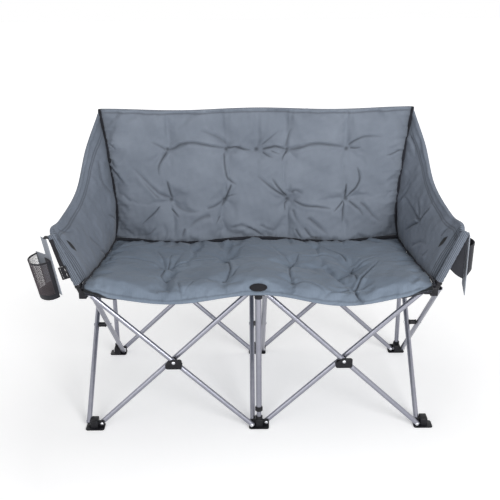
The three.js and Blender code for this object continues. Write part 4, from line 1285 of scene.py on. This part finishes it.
# Cords in the seams, each riding the pad that it is sewn to
def addPiping():
    def sew(name, line, radius, body, taper=1.0):
        piece = cordMesh(name, line, radius, pipingCloth, taper)
        dress(piece, body, "black_cloth")
        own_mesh(piece)

    share = np.linspace(0, 1, 60)
    across = np.linspace(0, 1, 160)
    outward, forward = piping["backOffset"]
    for side, sign in sideSign.items():
        line = backMiddle(np.full(60, (1 + sign) / 2), share) - (sign * outward, forward, 0)
        sew(f"backPiping_{side}", line, piping["radius"], "rear_foot_centre")
    seatRear = seatMiddle(across, np.ones(160)) + (0, 0, seat["edge"] / 2)
    backLow = backMiddle(across, np.zeros(160)) - (0, back["edge"] / 2, 0)
    crease = mix(seatRear, backLow, 0.5) + piping["creaseOffset"]
    sew("creasePiping", crease, piping["creaseRadius"], "rear_foot_centre")
    foldShare = seatRunShare(seat["foldY"])
    halves = (("Front", "seat_front", piping["seatStart"], foldShare - piping["foldGap"]),
              ("Rear", "seat_rear", foldShare + piping["foldGap"], 1.0))
    outward, upward = piping["seatOffset"]
    for side, sign in sideSign.items():
        edge = (1 + sign) / 2
        for name, body, start, end in halves:
            run = np.linspace(start, end, 40)
            line = seatMiddle(np.full(40, edge), run) + (sign * outward, 0, upward)
            sew(f"seatPiping{name}_{side}", line, piping["radius"], body)
        corner = mix(edge, 0.5, 2 * piping["bindingShare"] * np.linspace(0.05, 1, 30))
        line = seatMiddle(corner, np.zeros(30)) + piping["bindingOffset"]
        sew(f"cornerBinding_{side}", line, piping["bindingRadius"], "seat_front", np.linspace(1, 0.25, 30))


addPiping()
print("piping made")


sleeve = {"start": 0.034, "outer": 0.0118, "inner": 0.0084, "hood": 0.0118, "stitchedFrom": 0.0106,
          "rows": (-2.5, -2.05, -1.6, -1.15, -0.7), "rowWidth": 0.08, "rowDepth": 0.0014,
          "flatRadius": 0.010, "turnIn": 0.016}


# How deep a stitched row is at an angle round the sleeve, from 0 to 1, which also sets the painted shade in
# the row
def sleeveRows(angle):
    turns = [(angle - row + math.pi) % (2 * math.pi) - math.pi for row in sleeve["rows"]]
    return max(math.exp(-(turn / sleeve["rowWidth"]) ** 2) for turn in turns)


# Stitched cloth sleeves that close over the tips of the arm posts
def addSleeves():
    for side in sideSign:
        node = f"arm_sleeve_{side}"
        start, end = armPoint(side, sleeve["start"]), armPoint(side, armLength)
        tall = (end - start).length
        outer, inner = sleeve["outer"], sleeve["inner"]
        top = tall + sleeve["hood"]
        profile = [(inner, 0), (outer - 0.0008, 0), (outer, 0.0012)]
        profile += [(outer, tall * i / 36) for i in range(1, 37)]
        profile += [(outer, top - 0.006), (0.0108, top - 0.0028), (0.0082, top - 0.0008), (0.0005, top)]
        profile += [(0.0005, top - 0.001), (0.0076, top - 0.002), (0.0098, top - 0.005), (0.0098, tall),
                    (inner, tall)]
        bm = spun(profile, 96)
        dark = np.zeros(len(bm.verts))
        for i, vert in enumerate(bm.verts):
            radius = math.hypot(vert.co.x, vert.co.y)
            if radius > sleeve["stitchedFrom"]:
                angle = math.atan2(vert.co.y, vert.co.x)
                # The row's depth is also its painted shade
                dark[i] = sleeveRows(angle)
                puckers = 0.0005 * math.sin(vert.co.z * 420 + 2 * angle)
                puckers += 0.0003 * math.sin(vert.co.z * 260 - 3 * angle)
                grown = (radius - sleeve["rowDepth"] * dark[i] + puckers) / radius
                vert.co.x *= grown
                vert.co.y *= grown
        bm.transform(Matrix.Translation((columnX[side], 0, 0)) @ pointing(end - start, start))
        piece = makePiece(bm, f"sleeve_{side}", armCloth, 60)
        setFolds(piece.data, dark)
        mapWeave(piece.data, (0.7, 0.7, 0), (0, 0, 1))
        dress(piece, bodyOf[node], "grey_cloth", node)


addSleeves()


flap = {
    "length": 0.190, "thickness": 0.003, "border": 0.007, "pocketGap": 0.0022,
    "left": {"depth": 0.110, "neckDepth": 0.038, "neck": 0.062, "shoulder": 0.010, "tilt": 10},
    "right": {"depth": 0.096, "neckDepth": 0.040, "neck": 0.004, "shoulder": 0.030, "tilt": 0},
}


# The frame of a flap that hangs at rest: X sideways, Y along its hinge, Z upwards
def flapMatrix(side):
    joint = joints["cup_holder_swing" if side == "left" else "pouch_swing"]
    sign = sideSign[side]
    axis = Vector(joint["axis"]) * -sign
    toe = math.atan2(-axis.x, axis.y)
    return (Matrix.Translation(joint["pos_m"]) @ Matrix.Rotation(toe, 4, "Z")
            @ Matrix.Rotation(sign * math.radians(flap[side]["tilt"]), 4, "Y"))


# A flap narrows to its neck above the pocket
def flapPiece(name, side, matrix, bulge):
    form = flap[side]

    def widthAt(v):
        below = np.clip((flap["length"] * (1 - v) - form["neck"]) / form["shoulder"], 0, 1)
        return mix(form["neckDepth"], form["depth"], below)

    def middle(u, v):
        wave = bulge * np.sin(math.pi * v) * np.sin(math.pi * u)
        return stack(wave, widthAt(v) * u, -flap["length"] * (1 - v))

    def swell(u, v):
        edge = np.minimum(np.minimum(u, 1 - u) * widthAt(v), np.minimum(v, 1 - v) * flap["length"])
        stitch = -0.0006 * np.exp(-((edge - flap["border"]) / 0.0011) ** 2)
        rim = 0.35 + 0.65 * np.clip(edge / 0.002, 0, 1)
        return flap["thickness"] / 2 * rim + stitch

    bm = padShell((69, 114), middle, swell, swell)
    bm.transform(matrix)
    piece = makePiece(bm, name, flapCloth, 60)
    mapWeave(piece.data, (0, 1, 0), (0, 0, 1))
    return piece


cup = {"width": 0.088, "depth": 0.046, "height": 0.128, "drop": 0.072, "taper": 0.9, "round": 0.165,
       "mesh": 0.0052, "thread": 0.0012, "panel": 0.034, "panelShare": 0.97, "panelGap": 0.0004}


# The cup pocket's rounded wall in the flap's frame, which bulges outwards from a flat back
def cupWall(u, v):
    size = mix(cup["taper"], 1.0, v)
    angle = math.pi * u
    x = -cup["depth"] * size * np.sin(angle) ** 0.7
    y = -cup["width"] / 2 * size * np.cos(angle)
    return stack(x, y, cup["height"] * v)


# A black panel behind the net, as painted shade inside the pocket: as wide as the pocket at its bottom and
# narrow above
def cupShadePanel(u, v):
    near = cup["panelShare"] * cup["width"] / 2
    far = near - mix(2 * near, cup["panel"], np.clip(5 * v - 0.8, 0, 1))
    return stack(-cup["panelGap"], -mix(near, far, u) * mix(cup["taper"], 1, v), cup["height"] * v)


# Net cup holder with a bound rim, edge and bottom, and a black panel behind the net as painted shade
def addCup():
    matrix = flapMatrix("left")
    piece = flapPiece("cupFlap", "left", matrix, 0.002)
    dress(piece, "cup_holder", "grey_cloth", "cup_flap")
    hinge = flap["left"]["depth"] / 2
    place = matrix @ Matrix.Translation((-flap["pocketGap"], hinge, -cup["drop"] - cup["height"]))
    around = int(cup["round"] / cup["mesh"])
    tall = int(cup["height"] / cup["mesh"])
    net = bmesh.new()
    grid = bmesh.ops.create_grid(net, x_segments=around, y_segments=tall, size=0.5)["verts"]
    share = np.array([vert.co[:2] for vert in grid]) + 0.5
    for vert, spot in zip(grid, cupWall(share[:, 0], share[:, 1])):
        vert.co = spot
    straight = [edge for edge in net.edges if not edge.is_boundary]
    bmesh.ops.poke(net, faces=net.faces[:])
    bmesh.ops.dissolve_edges(net, edges=straight, use_verts=False)
    area = sum(face.calc_area() for face in net.faces)
    bmesh.ops.wireframe(net, faces=net.faces[:], thickness=cup["thread"], use_replace=True,
                        use_boundary=True, use_even_offset=True)
    net.transform(place)
    piece = makePiece(net, "cupNet", netCloth, 60)
    mapWeave(piece.data, (0.7, 0.7, 0), (0, 0, 1))
    dress(piece, "cup_holder", "black_cloth", "cup_pocket")
    binding = bmesh.new()

    def strip(cells, surface, thick):
        addTo(binding, padShell(cells, surface, evenly(thick / 2), evenly(thick / 2)))

    for low, high in ((0.0, 0.13), (0.96, 1.0)):
        strip((60, 4), lambda u, v: cupWall(u, mix(low, high, v)), 0.0017)
    strip((6, 40), lambda u, v: cupWall(0.05 * u, v), 0.0018)
    strip((24, 12), lambda u, v: cupWall(u, 0 * u) * np.stack([v, np.ones(len(v)), v], 1), 0.0016)
    # Painted shade: a black sheet behind the net where the pocket is in shadow
    strip((12, 24), cupShadePanel, 0.0012)
    binding.transform(place)
    piece = makePiece(binding, "cupBinding", blackCloth, 60)
    mapWeave(piece.data, (0.7, 0.7, 0), (0, 0, 1))
    dress(piece, "cup_holder", "black_cloth")


pouch = {"width": 0.074, "depth": 0.017, "height": 0.096, "drop": 0.034, "hem": 0.9, "flat": (0.094, 0.104)}


# A flat pocket on its flap, with a stitched hem round its mouth
def addPouch():
    matrix = flapMatrix("right")
    piece = flapPiece("pouchFlap", "right", matrix, 0.0)
    dress(piece, "pouch", "grey_cloth", "pouch_flap")
    hinge = flap["right"]["depth"] / 2
    place = matrix @ Matrix.Translation((flap["pocketGap"], hinge, -pouch["drop"] - pouch["height"]))

    def front(u, v):
        swelling = np.sin(math.pi * u) ** 0.6 * np.clip(v / 0.12, 0, 1) ** 0.5 * mix(0.9, 1, v)
        return stack(pouch["depth"] * swelling, pouch["width"] * (u - 0.5), pouch["height"] * v)

    def swell(u, v):
        hem = 0.0007 * np.clip((v - pouch["hem"]) / 0.02, 0, 1)
        stitch = -0.0005 * np.exp(-((v - pouch["hem"]) / 0.012) ** 2)
        return 0.001 + hem + stitch

    bm = padShell((48, 40), front, swell, evenly(0.0008))
    bm.transform(place)
    piece = makePiece(bm, "pouchPocket", blackCloth, 60)
    mapWeave(piece.data, (0, 1, 0), (0, 0, 1))
    dress(piece, "pouch", "black_cloth", "pouch_pocket")


gusset = {"front": 0.014, "innerInset": 0.001, "innerDrop": 0.108, "outerInset": 0.005, "outerDrop": 0.140,
          "topInset": 0.006, "topDrop": 0.012, "depth": 0.072, "sag": 0.004, "flat": (0.072, 0.125)}


# Black side bag that hangs between the right sleeve and its flap
def addGusset():
    low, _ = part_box("pouch_gusset")
    tip = flapMatrix("right").translation
    inner = np.array((low.x + gusset["innerInset"], gusset["front"], tip.z - gusset["innerDrop"]))
    outer = np.array((tip.x - gusset["outerInset"], gusset["front"], tip.z - gusset["outerDrop"]))
    peak = np.array((tip.x - gusset["topInset"], gusset["front"], tip.z - gusset["topDrop"]))

    def front(u, v):
        point = mix(mix(inner, outer, u[:, None]), peak, (0.97 * v)[:, None])
        sag = gusset["sag"] * np.sin(math.pi * u) * (1 - v)
        return point + stack(0 * sag, -0.002 * np.sin(math.pi * u), -sag)

    def floor(u, v):
        base = mix(inner, outer, u[:, None])
        base[:, 1] += v * gusset["depth"] * 0.98
        sag = gusset["sag"] * np.sin(math.pi * u) + 0.003 * np.sin(math.pi * v)
        return base - stack(0 * sag, 0 * sag, sag)

    bag = bmesh.new()
    for surface in (front, floor):
        addTo(bag, padShell((30, 30), surface, evenly(0.0008), evenly(0.0008)))
    piece = makePiece(bag, "pouchGusset", blackCloth, 60)
    mapWeave(piece.data, (0.7, 0.7, 0), (0, 0, 1))
    dress(piece, bodyOf["pouch_gusset"], "black_cloth", "pouch_gusset")


strap = {"width": 0.012, "thickness": 0.0016, "length": 0.086, "tail": 0.032, "tailGap": 0.004, "lean": 17,
         "front": -0.0121}
buckle = {"width": 0.024, "height": 0.040, "thickness": 0.004, "bar": 0.005, "bevel": 0.0013,
          "inset": 0.0004}


# Webbing that hangs in front of the left arm post, with its tail woven back through a ladder lock
def addStrap():
    tip = armPoint("left", armLength) + Vector((columnX["left"], strap["front"], 0))
    setback = math.atan2(armAxis["setback"], armAxis["rise"])
    place = (Matrix.Translation(tip) @ Matrix.Rotation(-math.radians(strap["lean"]), 4, "Y")
             @ Matrix.Rotation(-setback, 4, "X"))

    def ribbon(u, v):
        bow = -0.0012 * np.sin(math.pi * v)
        return stack(strap["width"] * (u - 0.5), bow - 0.0008, -strap["length"] * (1 - v))

    def swell(u, v):
        return strap["thickness"] / 2 * (0.55 + 0.45 * np.clip(np.minimum(u, 1 - u) / 0.12, 0, 1))

    def tail(u, v):
        weave = -0.0022 + 0.0012 * np.cos(4 * math.pi * v)
        drop = strap["length"] + strap["tailGap"] + strap["tail"] * (1 - v)
        return stack(strap["width"] * (u - 0.5), weave, -drop)

    bm = padShell((12, 60), ribbon, swell, swell)
    addTo(bm, padShell((12, 40), tail, swell, swell))
    bm.transform(place)
    piece = makePiece(bm, "strapWebbing", webbingTape, 60)
    mapWeave(piece.data, (1, 0, 0), (0, 0, 1))
    dress(piece, bodyOf["strap_webbing"], "webbing", "strap_webbing")
    bm = bmesh.new()
    half, top = buckle["width"] / 2, -strap["length"] - 0.0003
    bottom = top - buckle["height"]
    near, far = -buckle["thickness"], 0.0
    bar, inset, bevel = buckle["bar"], buckle["inset"], buckle["bevel"]
    for x in (-half, half - bar):
        addTo(bm, roundedBox((x, near, bottom), (x + bar, far, top), bevel))
    for z in (bottom, (top + bottom - bar) / 2, top - bar):
        addTo(bm, roundedBox((-half, near + inset, z), (half, far - inset, z + bar), bevel))
    bm.transform(place)
    piece = makePiece(bm, "ladderLock", blackNylon)
    dress(piece, bodyOf["strap_buckle"], "black_plastic", "strap_buckle")


# The bare oval plate on the lip: a raised rim round a slightly domed face
def addPlate():
    low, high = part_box("seat_plate")
    middle = (low + high) / 2
    half = (high.x - low.x) / 2
    profile = [(0, 0.0012), (0.6, 0.0011), (0.86, 0.0008), (0.89, 0.0016), (0.96, 0.0016), (1.0, 0.0006),
               (1.0, -0.0014), (0, -0.0014)]
    bm = spun([(radius * half, height) for radius, height in profile], 64)
    bm.transform(Matrix.Translation(middle) @ Matrix.Rotation(math.radians(45), 4, "X")
                 @ Matrix.Diagonal((1, plate["height"] / plate["width"], 1, 1)))
    piece = makePiece(bm, "seatPlate", blackNylon)
    dress(piece, bodyOf["seat_plate"], "black_plastic", "seat_plate")


addCup()
addPouch()
addGusset()
addStrap()
addPlate()
print("hangings made")


polePocket = {"bottom": 0.52, "topGap": 0.003, "gap": 0.0012, "wrap": 1.24, "lap": 0.12, "half": 0.0007}


# Cloth pockets that the back hangs by, one round each pole
def addPolePockets():
    for column, x in columnX.items():
        low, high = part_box(f"back_pole_{column}")
        radius = (high.y - low.y) / 2 + polePocket["gap"]
        top = high.z + polePocket["topGap"]

        def pocketSurface(u, v):
            angle = math.pi * (u * polePocket["wrap"] - polePocket["lap"])
            reach = radius + 0.0005 * np.sin(9 * v * math.pi + 4 * u)
            return stack(x - reach * np.cos(angle), rowDepth + reach * np.sin(angle),
                         mix(polePocket["bottom"], top, v))

        bm = padShell((30, 90), pocketSurface, evenly(polePocket["half"]), evenly(polePocket["half"]))
        piece = makePiece(bm, f"polePocket_{column}", backCloth, 60)
        mapWeave(piece.data, (0.7, 0.7, 0), (0, 0, 1))
        dress(piece, f"rear_foot_{column}", "grey_cloth")


addPolePockets()


# One for the rays that see the background, straight on or in metal and glass
def seenRays(tree):
    ray = addNode(tree, "ShaderNodeLightPath")
    seen = ray.outputs["Is Camera Ray"]
    for name in ("Is Glossy Ray", "Is Transmission Ray"):
        either = addNode(tree, "ShaderNodeMath", {0: seen, 1: ray.outputs[name]}, operation="MAXIMUM")
        seen = either.outputs["Value"]
    return seen


# Pale studio floor that fades into the white around it
def floorMaterial():
    material, tree, shader = newMaterial("studioFloor")
    place = addNode(tree, "ShaderNodeTexCoord").outputs["Object"]
    base = mottle(tree, place, "#F3F3F4", "#F8F8F8", 2.0)
    tree.links.new(base, shader.inputs["Base Color"])
    shader.inputs["Roughness"].default_value = 0.9
    away = addNode(tree, "ShaderNodeVectorMath", {0: place}, operation="LENGTH")
    spread = addNode(tree, "ShaderNodeMapRange", {"Value": away.outputs["Value"]},
                     {"From Min": 0.7, "From Max": 2.4, "To Min": 0.3, "To Max": 0.8})
    glow = addNode(tree, "ShaderNodeMath", {0: spread.outputs["Result"], 1: seenRays(tree)},
                   operation="MULTIPLY")
    shader.inputs["Emission Color"].default_value = (1, 1, 1, 1)
    tree.links.new(glow.outputs["Value"], shader.inputs["Emission Strength"])
    return material


def addFloor():
    bm = bmesh.new()
    bmesh.ops.create_grid(bm, x_segments=1, y_segments=1, size=14)
    makePiece(bm, "studioFloor", floorMaterial())


# A soft grey light all round, which looks white where it is seen
def addWorld():
    world = bpy.data.worlds.new("studio")
    bpy.context.scene.world = world
    world.use_nodes = True
    tree = world.node_tree
    background = tree.nodes["Background"]
    background.inputs["Color"].default_value = (1, 1, 1, 1)
    background.inputs["Strength"].default_value = 0.36
    white = addNode(tree, "ShaderNodeBackground", values={"Color": (1, 1, 1, 1), "Strength": 1.0})
    shown = addNode(tree, "ShaderNodeMixShader",
                    {"Fac": seenRays(tree), 1: background.outputs[0], 2: white.outputs[0]})
    tree.links.new(shown.outputs[0], tree.nodes["World Output"].inputs["Surface"])


lampTarget = Vector((0, 0.25, 0.45))
lamps = {
    "keyLamp": {"place": (1.5, -2.9, 1.7), "size": 1.4, "power": 90},
    "fillLamp": {"place": (-2.2, -2.4, 1.1), "size": 2.0, "power": 26},
    "topLamp": {"place": (0.2, 0.8, 3.2), "size": 1.8, "power": 8},
}


def addLamps():
    for name, settings in lamps.items():
        lamp = bpy.data.lights.new(name, "AREA")
        lamp.size = settings["size"]
        lamp.energy = settings["power"]
        holder = bpy.data.objects.new(name, lamp)
        holder.location = settings["place"]
        aim = lampTarget - Vector(settings["place"])
        holder.rotation_euler = aim.to_track_quat("-Z", "Y").to_euler()
        bpy.context.scene.collection.objects.link(holder)


photoCamera = {"place": (-0.0241, -2.2077, 1.44805), "tilt": 69.066, "roll": -0.00834, "lens": 58.06}


def addCamera():
    lens = bpy.data.cameras.new("photoCamera")
    lens.sensor_width = 36
    lens.lens = photoCamera["lens"]
    lens.dof.use_dof = False
    camera = bpy.data.objects.new("photoCamera", lens)
    camera.matrix_world = (Matrix.Translation(photoCamera["place"])
                           @ Matrix.Rotation(math.radians(photoCamera["tilt"]), 4, "X")
                           @ Matrix.Rotation(photoCamera["roll"], 4, "Z"))
    bpy.context.scene.collection.objects.link(camera)
    bpy.context.scene.camera = camera


bpy.context.scene.view_settings.view_transform = "Standard"
addFloor()
addWorld()
addLamps()
addCamera()
print("stage made")
